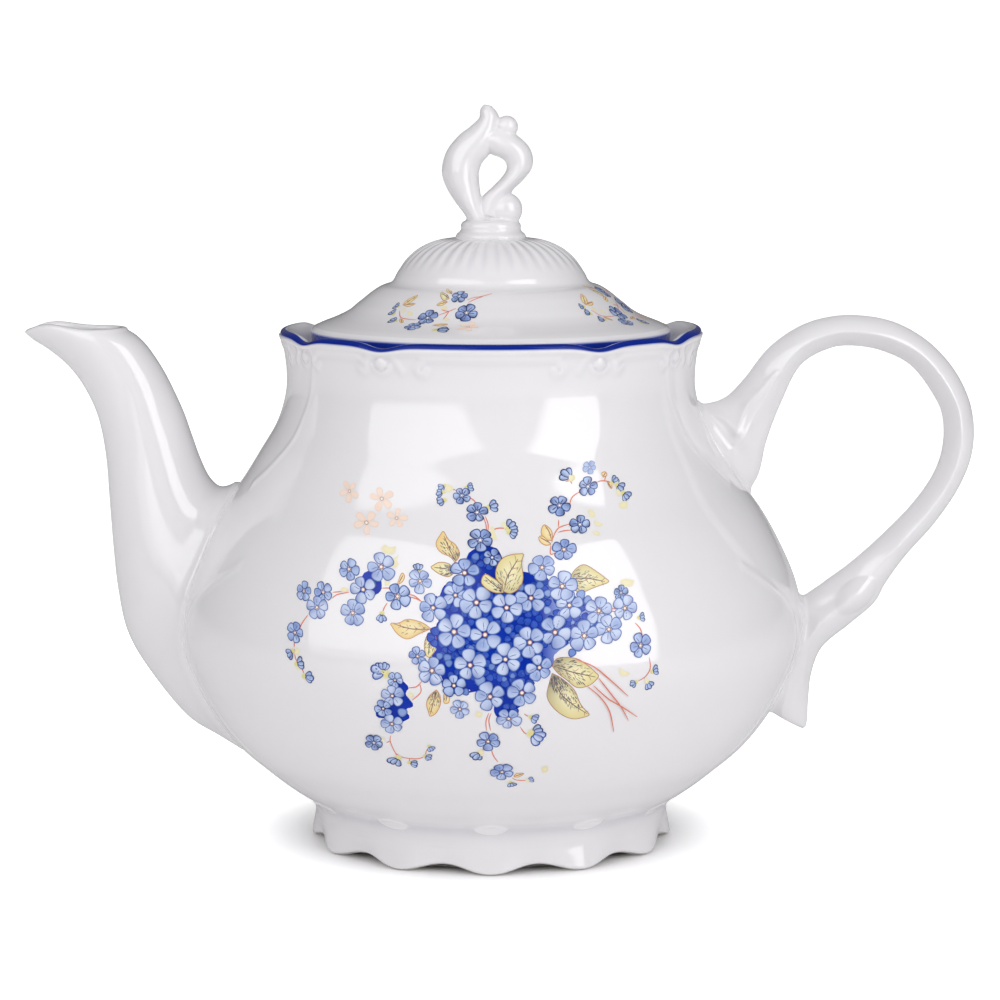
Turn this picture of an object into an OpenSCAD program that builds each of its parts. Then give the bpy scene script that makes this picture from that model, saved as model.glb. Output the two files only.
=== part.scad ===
// Baroque-form porcelain teapot that holds about 1.5 litres up to its ledge, with a lift-off lid.
// Millimetres. +Z is up, the spout points along -X and the handle along +X.
// The origin is the centre of the foot, on the surface that the pot stands on.

/* [Pot] */
// Thickness of the cast wall
wall = 4.2; // [3.5:0.1:5]
// Thickness of the floor
floor_t = 4.5; // [3.5:0.1:6]
// Height of the rim above the table
rim_z = 136; // [135.5:0.1:137]
// Depth of the eight dips in the rim
rim_dip = 1.1; // [0.4:0.1:1.6]
// Radius of the arc of each rim dip
rim_dip_r = 24; // [16:1:40]

/* [Lid seat] */
// Height of the ledge that the lid rests on
seat_z = 131; // [130:0.2:131.4]
// Radius of the mouth inside the ledge
mouth_r = 42; // [41.6:0.1:43]
// Radius of the wall round the lid
well_r = 50.4; // [49.6:0.1:51]
// Thickness of the ledge
ledge_t = 3.4; // [3:0.1:4.5]

/* [Foot] */
// Outer radius of the foot at the table
foot_r = 48; // [46:0.5:50]
// Radius of the recess inside the foot ring
foot_inner_r = 40; // [37:0.5:41]
// Number of scallops round the foot
scallops = 12; // [8:1:16]
// Rise of each hollow between two scallops
scallop_rise = 2; // [1:0.1:2.4]
// Radius of the arc of each hollow
scallop_r = 16; // [12:1:20]

/* [Lid] */
// Radius of the lid's edge
lid_r = 47.2; // [46:0.1:48.5]
// Thickness of the lid
lid_t = 3.6; // [3:0.1:4.2]
// Outer radius of the flange that drops into the mouth
flange_r = 41; // [39:0.1:41.3]
// Height of the flange
flange_h = 11; // [6:0.5:14]
// Diameter of the steam hole
vent_d = 2.6; // [2:0.1:3.5]

/* [Strainer] */
// Diameter of each strainer hole
hole_d = 3.8; // [3:0.1:4]
// Distance between neighbouring strainer holes
hole_pitch = 8; // [7:0.5:9]
// Height of the middle of the strainer
strainer_z = 63; // [58:1:66]

/* [Spout] */
// Thickness of the spout's wall
spout_wall = 3.3; // [2.6:0.1:3.8]

/* [Hidden] */

$fn = 96;
porcelain = [0.93, 0.93, 0.95];
knob_base_z = 159.8;
knob_base_r = 9.3;
floor_z = 8;
strainer_columns = [-2, -1, 0, 1, 2];

// Outline of the pot from the middle of the floor to just under the rim: [radius, height]
body_outline = [
    [0, floor_z], [36, floor_z], [43, 9.8], [48, 12.4], [55, 16.2], [62, 21.8], [68, 27.2],
    [73.4, 34], [78, 42], [82, 52], [82.7, 60], [80.6, 70], [76.2, 80], [71.4, 88.4],
    [65.8, 96], [60.8, 104], [56.4, 111.5], [54.1, 119], [53.8, 125], [54.6, 131.5], [55.4, 134.6]
];

// Spout sections from the body to the mouth: [front x, front z, back x, back z, half width]
spout_sections = [
    [-60, 22, -60, 94, 20], [-72, 27, -67, 93.5, 20.5], [-81, 32.5, -70, 93.3, 20],
    [-91, 45, -72.3, 94, 18.6], [-96.6, 55, -74.8, 96.7, 17], [-99, 66, -77, 101.5, 15.2],
    [-100.2, 78, -79, 107.3, 13.6], [-101, 90, -81.2, 113.7, 12.3], [-101.8, 102, -83.8, 119.6, 11.4],
    [-103.6, 112, -86.2, 124.4, 10.7], [-106.8, 119.6, -88.8, 128.6, 10.3],
    [-111, 125.6, -91, 131.6, 10], [-116.4, 130.2, -93.2, 133.8, 9.7], [-120.6, 132.9, -94.8, 134.9, 9.3],
    [-122.7, 134.8, -95.6, 135.4, 8.8]
];

// Handle sections from the upper root to the tail: [outer x, outer z, inner x, inner z, half width]
handle_sections = [
    [50, 115, 64, 88, 8.5], [60.5, 117, 70.4, 96, 7.4], [66.3, 122, 72.9, 106, 6.5],
    [72.5, 130, 76.4, 115.6, 6], [79.3, 135.4, 81.6, 126, 6], [86.8, 138.5, 89.4, 130.6, 6],
    [96, 139.4, 96.6, 131.2, 6], [106.4, 137.5, 104, 129.6, 6], [115.8, 132, 110.8, 126, 6],
    [123, 123.8, 116.2, 119.2, 6], [127.1, 114.2, 119.2, 112.8, 6], [127.5, 103.8, 119.4, 104.6, 6],
    [124.3, 94.2, 116.8, 96.8, 6], [118, 84.4, 111.2, 88.8, 6], [110.4, 75.6, 103.3, 80.6, 6],
    [105, 68, 95.5, 73.6, 6.3], [102, 62.6, 88, 68, 7], [95.4, 56.8, 81, 62.5, 7.8],
    [88.4, 50.8, 76, 54, 8.2], [85.6, 43.8, 74, 46, 7.8], [84.8, 36.3, 71, 38.5, 6.4],
    [84.3, 29, 68, 34, 4.4]
];

// The knob's two strands: [left x, left z, right x, right z, half depth]
knob_left = [
    [-5.6, 162, 2, 162, 4.6], [-6.6, 165.2, -1.2, 165.4, 4.6], [-9, 168.6, -2.4, 169.4, 4.8],
    [-11.6, 172.8, -3, 173.4, 5], [-12.8, 177, -3.1, 176.8, 5.2], [-11.7, 182, -2.2, 179.4, 5],
    [-8.6, 186.1, -0.6, 181.2, 4.6], [-5.2, 188.8, 0.9, 184.2, 4], [-3, 191, 1.9, 188, 3.2],
    [-2.8, 193, 2, 191.6, 2.5], [-1.8, 194.4, 0.2, 194, 1.3]
];
knob_right = [
    [-3.4, 166.6, 2.6, 164.5, 3.8], [-2.4, 170.1, 5.2, 171.3, 4.2], [0.4, 172.9, 8.3, 174.6, 4.4],
    [3, 175.6, 10.6, 177.6, 4.5], [4.2, 177.9, 11, 180.6, 4.5], [3.6, 179.8, 9.9, 183.5, 4.5],
    [2, 180.8, 7.4, 186, 4.4], [0.3, 181.4, 4.4, 188, 4], [-1.2, 182.8, 0.6, 188.4, 3.4],
    [-3, 184, -2.2, 187, 2.6]
];
// The knob's two beads: [x, z, radius]
knob_beads = [[4.2, 188.6, 2.9], [3.8, 167, 4.5]];

// One point of a smooth curve through a, b, c and d, at t between b and c
function curve_at(a, b, c, d, t) =
    0.5 * (2 * b + (c - a) * t + (2 * a - 5 * b + 4 * c - d) * t * t + (3 * b - a - 3 * c + d) * t * t * t);

// A smooth curve through all the points, with n steps between neighbours
function smooth(p, n) = concat(
    [for (i = [0 : len(p) - 2]) for (k = [0 : n - 1])
        curve_at(p[max(i - 1, 0)], p[i], p[i + 1], p[min(i + 2, len(p) - 1)], k / n)],
    [p[len(p) - 1]]
);

// The unit normal of an outline at point i, pointing into the wall
function inward(p, i) =
    let (d = p[min(i + 1, len(p) - 1)] - p[max(i - 1, 0)]) [-d[1], d[0]] / norm(d);

// The outline moved into the wall by t
function inset(p, t) = [for (i = [0 : len(p) - 1]) p[i] + inward(p, i) * t];

// The section with t of wall taken off all round
function thinner(s, t) =
    let (a = [s[0], s[1]], b = [s[2], s[3]], u = (b - a) / norm(b - a) * t)
    [s[0] + u[0], s[1] + u[1], s[2] - u[0], s[3] - u[1], s[4] - t];

// The ring of n points of one oval section, narrowed towards its first edge by nose
function ring(s, n, nose) = [
    for (k = [0 : n - 1])
        let (c = cos(360 * k / n), w = s[4] * sin(360 * k / n) * (1 + nose * c))
        [(s[0] + s[2]) / 2 + (s[2] - s[0]) / 2 * c, w, (s[1] + s[3]) / 2 + (s[3] - s[1]) / 2 * c]
];

// A solid through oval sections; the last ones narrow to a lip of the given nose
module loft(sections, n, nose = 0) {
    m = len(sections);
    points = [for (j = [0 : m - 1]) each ring(sections[j], n, nose * pow(j / (m - 1), 4))];
    sides = [for (j = [0 : m - 2]) for (k = [0 : n - 1])
        [j * n + k, (j + 1) * n + k, (j + 1) * n + (k + 1) % n, j * n + (k + 1) % n]];
    first = [for (k = [0 : n - 1]) k];
    last = [for (k = [n - 1 : -1 : 0]) (m - 1) * n + k];
    polyhedron(points, concat(sides, [first, last]), convexity = 6);
}

body_curve = smooth([for (i = [1 : len(body_outline) - 1]) body_outline[i]], 3);

// The full volume of the pot inside its outer surface
module pot_envelope() {
    rotate_extrude() polygon(concat([body_outline[0]], body_curve, [[0, body_curve[len(body_curve) - 1][1]]]));
}

// The wall of the pot in section, with the ledge for the lid and the rounded rim
module pot_section() {
    ledge_foot = seat_z - ledge_t;
    neck_z = ledge_foot - (well_r - mouth_r);
    inner = [for (p = inset(body_curve, wall)) if (p[1] > floor_z + floor_t && p[1] < neck_z) p];
    rim_in = [well_r + 1.6, rim_z - 1.4];
    rim_mid = [(body_curve[len(body_curve) - 1][0] + rim_in[0]) / 2, rim_z];
    polygon(concat(
        [body_outline[0]], body_curve,
        [rim_mid + [1, -0.3], rim_mid - [0.2, 0], rim_mid - [1.2, 0.4], rim_in, [well_r, seat_z]],
        [[mouth_r, seat_z], [mouth_r, ledge_foot]],
        [for (i = [len(inner) - 1 : -1 : 0]) inner[i]],
        [[inner[0][0] - 6, floor_z + floor_t], [0, floor_z + floor_t]]
    ));
}

// Holes through the wall behind the spout, in a staggered pattern
module strainer_holes() {
    for (column = strainer_columns) {
        rows = 3 - abs(column) % 2;
        for (row = [0 : rows - 1])
            translate([-90, column * hole_pitch * 0.87, strainer_z + (row - (rows - 1) / 2) * hole_pitch])
                rotate([0, 90, 0])
                cylinder(h = 40, d = hole_d);
    }
}

// The dips lie 30 and 60 degrees either side of the front and of the back
module rim_dips() {
    for (side = [-90, 90]) for (a = [-60, -30, 30, 60])
        rotate([0, 0, side + a])
            translate([well_r - 1, 0, rim_z + rim_dip_r - rim_dip])
            rotate([0, 90, 0])
            cylinder(h = 8, r = rim_dip_r);
}

module pot_body() {
    color(porcelain)
    difference() {
        rotate_extrude() pot_section();
        strainer_holes();
        rim_dips();
    }
}

module foot_ring() {
    color(porcelain)
    difference() {
        rotate_extrude()
            polygon([
                [foot_inner_r, 0], [foot_r - 1.2, 0], [foot_r - 0.3, 0.4], [foot_r, 1.2], [foot_r - 0.7, 4.5],
                [foot_r - 1.4, 8], [foot_r - 2, 11], [foot_r - 2.2, 14], [foot_inner_r - 1, 14]
            ]);
        pot_envelope();
        for (k = [0 : scallops - 1])
            rotate([0, 0, 90 + (k + 0.5) * 360 / scallops])
                translate([foot_inner_r + 2.4, 0, scallop_rise - scallop_r])
                rotate([0, 90, 0])
                cylinder(h = foot_r, r = scallop_r);
    }
}

module spout() {
    curve = smooth(spout_sections, 2);
    hollow = [for (s = curve) thinner(s, spout_wall)];
    end = hollow[len(hollow) - 1];
    color(porcelain)
    difference() {
        loft(curve, 32, 0.34);
        loft(concat(hollow, [end + [-0.2, 3, 0.2, 3, 0]]), 28, 0.34);
        pot_envelope();
    }
}

module handle() {
    color(porcelain)
    difference() {
        loft(smooth(handle_sections, 2), 20);
        pot_envelope();
    }
}

// Outline of the lid's outer surface, from the knob's base to the edge
lid_outline = [
    [knob_base_r, knob_base_z], [14, 159], [18.4, 157], [22.2, 153.8], [24.6, 150.4], [25.6, 148],
    [27.4, 146.9], [31, 146], [34.2, 143.4], [37.6, 140.6], [41.6, 137.9], [45.2, 136]
];

module lid_section() {
    outer = smooth(lid_outline, 2);
    inner = [for (p = inset(outer, -lid_t)) if (p[0] < flange_r - 3.4) p];
    polygon(concat(
        [[0, knob_base_z]], outer,
        [[lid_r - 0.5, seat_z + 4.2], [lid_r, seat_z + 3.2], [lid_r, seat_z + 0.8], [lid_r - 0.6, seat_z]],
        [[flange_r - 3, seat_z]],
        [for (i = [len(inner) - 1 : -1 : 0]) inner[i]],
        [[0, knob_base_z - lid_t]]
    ));
}

module lid_shell() {
    color(porcelain)
    difference() {
        rotate_extrude() lid_section();
        translate([0, 15, knob_base_z - 8])
            cylinder(h = 12, d = vent_d);
    }
}

module lid_flange() {
    color(porcelain)
    rotate_extrude()
        polygon([
            [flange_r - 3, seat_z], [flange_r, seat_z], [flange_r, seat_z - flange_h + 1],
            [flange_r - 0.8, seat_z - flange_h], [flange_r - 2.2, seat_z - flange_h],
            [flange_r - 3, seat_z - flange_h + 0.8]
        ]);
}

module lid_knob() {
    color(porcelain)
    union() {
        rotate_extrude()
            polygon([
                [0, knob_base_z], [knob_base_r, knob_base_z], [8.6, 161.2], [7.8, 162], [7.9, 163], [7, 164.2],
                [0, 164.6]
            ]);
        loft(smooth(knob_left, 2), 16);
        loft(smooth(knob_right, 2), 16);
        for (b = knob_beads)
            translate([b[0], 0, b[1]])
                sphere(r = b[2], $fn = 28);
    }
}

pot_body();
foot_ring();
spout();
handle();
lid_shell();
lid_flange();
lid_knob();
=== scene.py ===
"""A baroque porcelain teapot around its CAD frame: glazed pieces, a cobalt line and a flower print."""
import math
import random

import bmesh
import bpy
import numpy as np
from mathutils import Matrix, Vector
from mathutils.geometry import delaunay_2d_cdt


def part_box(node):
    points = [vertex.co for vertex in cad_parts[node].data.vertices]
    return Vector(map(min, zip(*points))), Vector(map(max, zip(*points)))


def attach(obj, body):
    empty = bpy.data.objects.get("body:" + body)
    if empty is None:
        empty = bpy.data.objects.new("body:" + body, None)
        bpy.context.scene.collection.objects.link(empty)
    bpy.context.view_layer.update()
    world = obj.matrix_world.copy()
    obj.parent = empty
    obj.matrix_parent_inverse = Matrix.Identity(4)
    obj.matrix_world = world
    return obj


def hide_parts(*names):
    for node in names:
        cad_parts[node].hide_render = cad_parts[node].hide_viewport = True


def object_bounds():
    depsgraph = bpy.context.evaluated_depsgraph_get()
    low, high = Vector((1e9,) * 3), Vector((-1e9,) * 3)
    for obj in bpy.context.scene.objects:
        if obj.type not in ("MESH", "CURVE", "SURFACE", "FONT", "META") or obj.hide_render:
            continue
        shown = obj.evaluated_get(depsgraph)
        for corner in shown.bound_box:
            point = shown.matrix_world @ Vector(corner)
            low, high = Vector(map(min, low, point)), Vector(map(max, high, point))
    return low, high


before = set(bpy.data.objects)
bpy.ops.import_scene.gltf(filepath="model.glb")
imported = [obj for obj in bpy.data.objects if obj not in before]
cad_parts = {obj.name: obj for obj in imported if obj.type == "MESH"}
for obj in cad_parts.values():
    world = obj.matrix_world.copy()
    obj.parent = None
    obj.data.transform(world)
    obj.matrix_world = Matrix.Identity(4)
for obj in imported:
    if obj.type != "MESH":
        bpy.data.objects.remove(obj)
cad_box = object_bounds()

MM = 0.001

# ---------------------------------------------------------------- sizes, in millimetres

# Heights that the CAD nodes already hold
lid_edge_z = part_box("lid_shell")[0].z / MM
flange_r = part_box("lid_flange")[1].x / MM
knob_base_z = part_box("lid_knob")[0].z / MM

wall = 4.2
floor_z = 8
floor_top_z = 12.5
well_r = 50.4
mouth_r = 42
ledge_t = 3.4
seat_z = lid_edge_z
lid_r = 47.2
vent_d = 2.6
hole_d = 3.8
hole_pitch = 8
strainer_z = 63

# Points round the pot and round the lid, the radius and height that the garland is drawn at, the radius
# that the lid's sprays are drawn at, the run of the skirt for each mm up it, and the crown's flutes
pot_columns = 720
lid_columns = 600
garland_r = 54.5
bead_z = 130.9
skirt_r = 37
skirt_run = 0.82
flutes = 38

# How far painted things lie above the glaze, and how much more each one has than the one under it
royal_lift = 0.015
stem_lift = 0.02
flower_lift = 0.045
spray_lift = 0.03
line_lift = 0.04
layer = 0.002

# Outline of the pot from the floor to just under the rim: [radius, height]
body_outline = [
    [36, 8], [43, 9.8], [48, 12.4], [55, 16.2], [62, 21.8], [68, 27.2], [73.4, 34], [78, 42], [82, 52],
    [82.7, 60], [80.6, 70], [76.2, 80], [71.4, 88.4], [65.8, 96], [60.8, 104], [56.4, 111.5],
    [54.1, 119], [53.8, 125], [54.6, 131.5], [55.4, 134.6],
]

# Spout sections from the body to the mouth: [front x, front z, back x, back z, half width]
spout_sections = [
    [-60, 22, -60, 94, 20], [-72, 27, -67, 93.5, 20.5], [-81, 32.5, -70, 93.3, 20],
    [-91, 45, -72.3, 94, 18.6], [-96.6, 55, -74.8, 96.7, 17], [-99, 66, -77, 101.5, 15.2],
    [-100.2, 78, -79, 107.3, 13.6], [-101, 90, -81.2, 113.7, 12.3], [-101.8, 102, -83.8, 119.6, 11.4],
    [-103.6, 112, -86.2, 124.4, 10.7], [-106.8, 119.6, -88.8, 128.6, 10.3],
    [-111, 125.6, -91, 131.6, 10], [-116.4, 130.2, -93.2, 133.8, 9.7],
    [-120.6, 132.9, -94.8, 134.9, 9.3], [-122.7, 134.8, -95.6, 135.4, 8.8],
]
spout_wall = 3.3
spout_nose = 0.34

# Handle sections from the upper root to the tail: [outer x, outer z, inner x, inner z, half width]
handle_sections = [
    [50, 115, 64, 88, 8.5], [60.5, 117, 70.4, 96, 7.4], [66.3, 122, 72.9, 106, 6.5],
    [72.5, 130, 76.4, 115.6, 6], [79.3, 135.4, 81.6, 126, 6], [86.8, 138.5, 89.4, 130.6, 6],
    [96, 139.4, 96.6, 131.2, 6], [106.4, 137.5, 104, 129.6, 6], [115.8, 132, 110.8, 126, 6],
    [123, 123.8, 116.2, 119.2, 6], [127.1, 114.2, 119.2, 112.8, 6], [127.5, 103.8, 119.4, 104.6, 6],
    [124.3, 94.2, 116.8, 96.8, 6], [118, 84.4, 111.2, 88.8, 6], [110.4, 75.6, 103.3, 80.6, 6],
    [105, 68, 95.5, 73.6, 6.3], [102, 62.6, 88, 68, 7], [95.4, 56.8, 81, 62.5, 7.8],
    [88.4, 50.8, 76, 54, 8.2], [85.6, 43.8, 74, 46, 7.8], [84.8, 36.3, 71, 38.5, 6.4],
    [84.6, 31, 70, 36, 5], [83.8, 28.6, 71.4, 35.4, 3.6], [81.6, 29.6, 73, 35, 2.4],
]

# The knob's two strands: [left x, left z, right x, right z, half depth]
knob_left = [
    [-5.6, 162, 2, 162, 4.6], [-6.6, 165.2, -1.2, 165.4, 4.6], [-9, 168.6, -2.4, 169.4, 4.8],
    [-11.6, 172.8, -3, 173.4, 5], [-12.8, 177, -3.1, 176.8, 5.2], [-11.7, 182, -2.2, 179.4, 5],
    [-8.6, 186.1, -0.6, 181.2, 4.6], [-5.2, 188.8, 0.9, 184.2, 4], [-3, 191, 1.9, 188, 3.2],
    [-2.8, 193, 2, 191.6, 2.5], [-1.8, 194.4, 0.2, 194, 1.3],
]
knob_right = [
    [-3.4, 166.6, 2.6, 164.5, 3.8], [-2.4, 170.1, 5.2, 171.3, 4.2], [0.4, 172.9, 8.3, 174.6, 4.4],
    [3, 175.6, 10.6, 177.6, 4.5], [4.2, 177.9, 11, 180.6, 4.5], [3.6, 179.8, 9.9, 183.5, 4.5],
    [2, 180.8, 7.4, 186, 4.4], [0.3, 181.4, 4.4, 188, 4], [-1.2, 182.8, 0.6, 188.4, 3.4],
    [-3, 184, -2.2, 187, 2.6],
]
knob_beads = [[4.2, 188.6, 2.9], [3.8, 167, 4.5], [-1.4, 165, 2.8]]

# Outline of the lid's outer surface from the knob's base to the edge: [radius, height]
lid_outline = [
    [9.3, 159.8], [14, 159], [18.6, 157], [22.2, 154], [24.6, 150.6], [25.6, 148.7], [26.8, 147.8],
    [28.9, 147.1], [31.3, 145.6], [33.3, 144], [35.2, 142.5], [37, 141], [39.4, 139.6], [42, 138.5],
    [44.6, 137.5], [46.3, 136.7],
]
lid_t = 3.6

# ---------------------------------------------------------------- shader nodes


def add_node(tree, kind, values=None, **settings):
    """A shader node with its settings, such as operation, and values on its named inputs."""
    node = tree.nodes.new(kind)
    for name, value in settings.items():
        setattr(node, name, value)
    for name, value in (values or {}).items():
        node.inputs[name].default_value = value
    return node


def wire(tree, *joints):
    """Links between nodes, each given as (node, its output, node, its input)."""
    for source, output, target, socket in joints:
        tree.links.new(source.outputs[output], target.inputs[socket])


def new_material(name, values):
    """A material with values on its Principled shader, its node tree and that shader."""
    material = bpy.data.materials.new(name)
    material.use_nodes = True
    bsdf = material.node_tree.nodes["Principled BSDF"]
    for socket, value in values.items():
        bsdf.inputs[socket].default_value = value
    return material, material.node_tree, bsdf


# ---------------------------------------------------------------- camera, floor and light


def make_camera():
    """A long lens in front of the pot and a little above it."""
    data = bpy.data.cameras.new("camera")
    data.lens = 117.36
    data.sensor_width = 36
    camera = bpy.data.objects.new("camera", data)
    camera.location = (0.0024, -0.857, 0.204)
    camera.rotation_euler = (math.radians(90 - 7.56), 0, 0)
    bpy.context.scene.collection.objects.link(camera)
    bpy.context.scene.camera = camera


def softbox(name, azimuth, elevation, distance, width, height, radiance):
    """An area light that faces the pot; azimuth is from the front, positive to the right."""
    data = bpy.data.lights.new(name, "AREA")
    data.shape = "RECTANGLE"
    data.size = width
    data.size_y = height
    data.energy = radiance * math.pi * width * height
    lamp = bpy.data.objects.new(name, data)
    a, e = math.radians(azimuth), math.radians(elevation)
    target = Vector((0, 0, 0.08))
    away = Vector((math.sin(a) * math.cos(e), -math.cos(a) * math.cos(e), math.sin(e)))
    lamp.location = target + distance * away
    lamp.rotation_euler = (target - lamp.location).to_track_quat("-Z", "Y").to_euler()
    lamp.visible_camera = False
    bpy.context.scene.collection.objects.link(lamp)
    return lamp


def card(name, *place):
    """The bright face of a softbox, which shows only in reflections."""
    lamp = softbox(name, *place)
    lamp.visible_diffuse = False
    lamp.visible_shadow = False


def make_world():
    """White behind the pot; for everything else a soft studio, brighter overhead than at the horizon."""
    world = bpy.data.worlds.new("studio")
    bpy.context.scene.world = world
    world.use_nodes = True
    tree = world.node_tree
    tree.nodes.clear()
    out = add_node(tree, "ShaderNodeOutputWorld")
    mix = add_node(tree, "ShaderNodeMixShader")
    seen = add_node(tree, "ShaderNodeBackground", {"Color": (1, 1, 1, 1), "Strength": 1.05})
    room = add_node(tree, "ShaderNodeBackground")
    place = add_node(tree, "ShaderNodeTexCoord")
    split = add_node(tree, "ShaderNodeSeparateXYZ")
    ramp = add_node(tree, "ShaderNodeValToRGB")
    stops = ramp.color_ramp.elements
    stops[0].position = 0.0
    stops[0].color = (0.42, 0.412, 0.43, 1)
    stops[1].position = 0.75
    stops[1].color = (0.8, 0.79, 0.81, 1)
    stops.new(0.3).color = (0.62, 0.61, 0.632, 1)
    reach = {"From Min": -0.3, "From Max": 0.5, "To Min": 0.555, "To Max": 0.26}
    deep = add_node(tree, "ShaderNodeMapRange", reach)
    path = add_node(tree, "ShaderNodeLightPath")
    wire(
        tree,
        (place, "Generated", split, 0),
        (split, "Z", ramp, "Fac"),
        (split, "Y", deep, "Value"),
        (deep, "Result", room, "Strength"),
        (ramp, "Color", room, "Color"),
        (path, "Is Camera Ray", mix, 0),
        (room, 0, mix, 1),
        (seen, 0, mix, 2),
        (mix, 0, out, "Surface"),
    )


def make_floor():
    """A wide pale floor at the height that the foot stands on, glowing white away from the pot; the glow
    fades out near the pot, which paints a shadow round the foot.
    """
    half = 4.0
    z = cad_box[0][2]
    corners = [(-half, -half, z), (half, -half, z), (half, half, z), (-half, half, z)]
    mesh = bpy.data.meshes.new("floor")
    mesh.from_pydata(corners, [], [(0, 1, 2, 3)])
    floor = bpy.data.objects.new("floor", mesh)
    bpy.context.scene.collection.objects.link(floor)
    paper = {"Base Color": (0.84, 0.835, 0.84, 1), "Roughness": 0.9, "Emission Color": (1, 1, 1, 1)}
    material, tree, bsdf = new_material("floor_paper", paper)
    place = add_node(tree, "ShaderNodeTexCoord")
    away = add_node(tree, "ShaderNodeVectorMath", operation="LENGTH")
    # Painted light: the floor glows, not at all within 42 mm of the pot's axis and fully past 74 mm, which
    # paints a contact shadow round the foot; rays other than the camera's see 0.15 of the glow.
    reach = {"From Min": 0.042, "From Max": 0.074, "To Min": 0.0, "To Max": 1.0}
    painted_shadow_ramp = add_node(tree, "ShaderNodeMapRange", reach)
    path = add_node(tree, "ShaderNodeLightPath")
    share = add_node(tree, "ShaderNodeMapRange", {"To Min": 0.15})
    painted_glow = add_node(tree, "ShaderNodeMath", operation="MULTIPLY")
    wire(
        tree,
        (place, "Object", away, 0),
        (away, "Value", painted_shadow_ramp, "Value"),
        (path, "Is Camera Ray", share, "Value"),
        (painted_shadow_ramp, "Result", painted_glow, 0),
        (share, "Result", painted_glow, 1),
        (painted_glow, 0, bsdf, "Emission Strength"),
    )
    mesh.materials.append(material)


def make_lights():
    softbox("left_window", -40, 27, 1.1, 1.15, 1.05, 1.16)
    softbox("right_window", 44, 24, 1.1, 0.66, 1.1, 2.12)
    softbox("overhead", 0, 88, 1.3, 1.6, 1.6, 0.14)
    card("left_glint", -42, 30, 1.09, 1.1, 0.95, 1.3)
    card("right_glint", 46, 24, 1.09, 0.6, 1.1, 1.9)


make_camera()
make_world()
make_floor()
make_lights()
bpy.context.scene.view_settings.view_transform = "Standard"

# ---------------------------------------------------------------- curves and grids


def curve(points, steps):
    """A smooth curve through all the points, with so many steps between neighbours."""
    p = np.array(points, float)
    ends = np.vstack([p[:1], p, p[-1:]])
    t = np.arange(steps)[:, None] / steps
    out = []
    for i in range(len(p) - 1):
        a, b, c, d = ends[i:i + 4]
        out.append(
            0.5 * (2 * b + (c - a) * t + (2 * a - 5 * b + 4 * c - d) * t**2 + (3 * b - a - 3 * c + d) * t**3)
        )
    out.append(p[-1:])
    return np.vstack(out)


def spaced(points, step):
    """The same line with even steps of about that length."""
    gaps = np.linalg.norm(np.diff(points, axis=0), axis=1)
    along = np.concatenate([[0], np.cumsum(gaps)])
    count = max(2, int(round(along[-1] / step)) + 1)
    at = np.linspace(0, along[-1], count)
    return np.stack([np.interp(at, along, points[:, k]) for k in range(points.shape[1])], -1)


def outward(profile):
    """Unit normals of an outline of [radius, height], on the right of its direction."""
    d = np.gradient(profile, axis=0)
    n = np.stack([d[:, 1], -d[:, 0]], -1)
    return n / np.linalg.norm(n, axis=1, keepdims=True)


def on_ring(r, theta, z):
    """Points at radius r and height z; theta is from the front, positive towards the handle."""
    r, theta, z = np.broadcast_arrays(r, theta, z)
    return np.stack([r * np.sin(theta), -r * np.cos(theta), z], -1)


def full_turn(count):
    """So many even angles round a full turn, from 0."""
    return np.linspace(0, 2 * np.pi, count, endpoint=False)


def round_angles(count):
    """A row of even angles round the pot, from the back through the front."""
    return np.linspace(-np.pi, np.pi, count, endpoint=False)[None, :]


def grid_faces(rows, columns):
    """Quads between the points of a grid whose last column joins its first."""
    j = np.arange(rows - 1)[:, None]
    k = np.arange(columns)[None, :]
    k2 = (k + 1) % columns
    quads = np.stack([j * columns + k, j * columns + k2, (j + 1) * columns + k2, (j + 1) * columns + k], -1)
    return quads.reshape(-1, 4).tolist()


def joined_ends(rows, columns):
    """Quads from the last row of a grid back to its first."""
    last = (rows - 1) * columns
    return [(last + k, last + (k + 1) % columns, (k + 1) % columns, k) for k in range(columns)]


def fan(ring, centre, flip=False):
    """Triangles from a ring of point numbers to one centre point."""
    faces = [(ring[i], ring[(i + 1) % len(ring)], centre) for i in range(len(ring))]
    return [f[::-1] for f in faces] if flip else faces


def rod_faces(sides):
    """Faces of a rod: two rings of points and a flat cap on each."""
    caps = [tuple(range(sides - 1, -1, -1)), tuple(range(sides, 2 * sides))]
    return grid_faces(2, sides) + caps


def capped_piece(name, points, ends, pool_and_shade=None):
    """A closed piece over a grid of rings, with a fan at each end to one of two end points."""
    rows, columns = points.shape[:2]
    count = rows * columns
    faces = grid_faces(rows, columns)
    faces += fan(list(range(columns)), count, True)
    faces += fan(list(range(count - columns, count)), count + 1)
    if pool_and_shade is not None:
        pool_and_shade = np.concatenate([pool_and_shade.ravel(), [0, 0]])
    piece = make_piece(name, np.vstack([points.reshape(-1, 3), ends]), faces, pool_and_shade=pool_and_shade)
    make_outside(piece)
    return piece


def make_piece(name, points, faces, tint=None, pool_and_shade=None):
    """A smooth mesh object from points in millimetres."""
    mesh = bpy.data.meshes.new(name)
    mesh.from_pydata((np.asarray(points, float) * MM).tolist(), [], faces)
    mesh.shade_smooth()
    add_paint(mesh, tint, pool_and_shade)
    piece = bpy.data.objects.new(name, mesh)
    bpy.context.scene.collection.objects.link(piece)
    return piece


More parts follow.
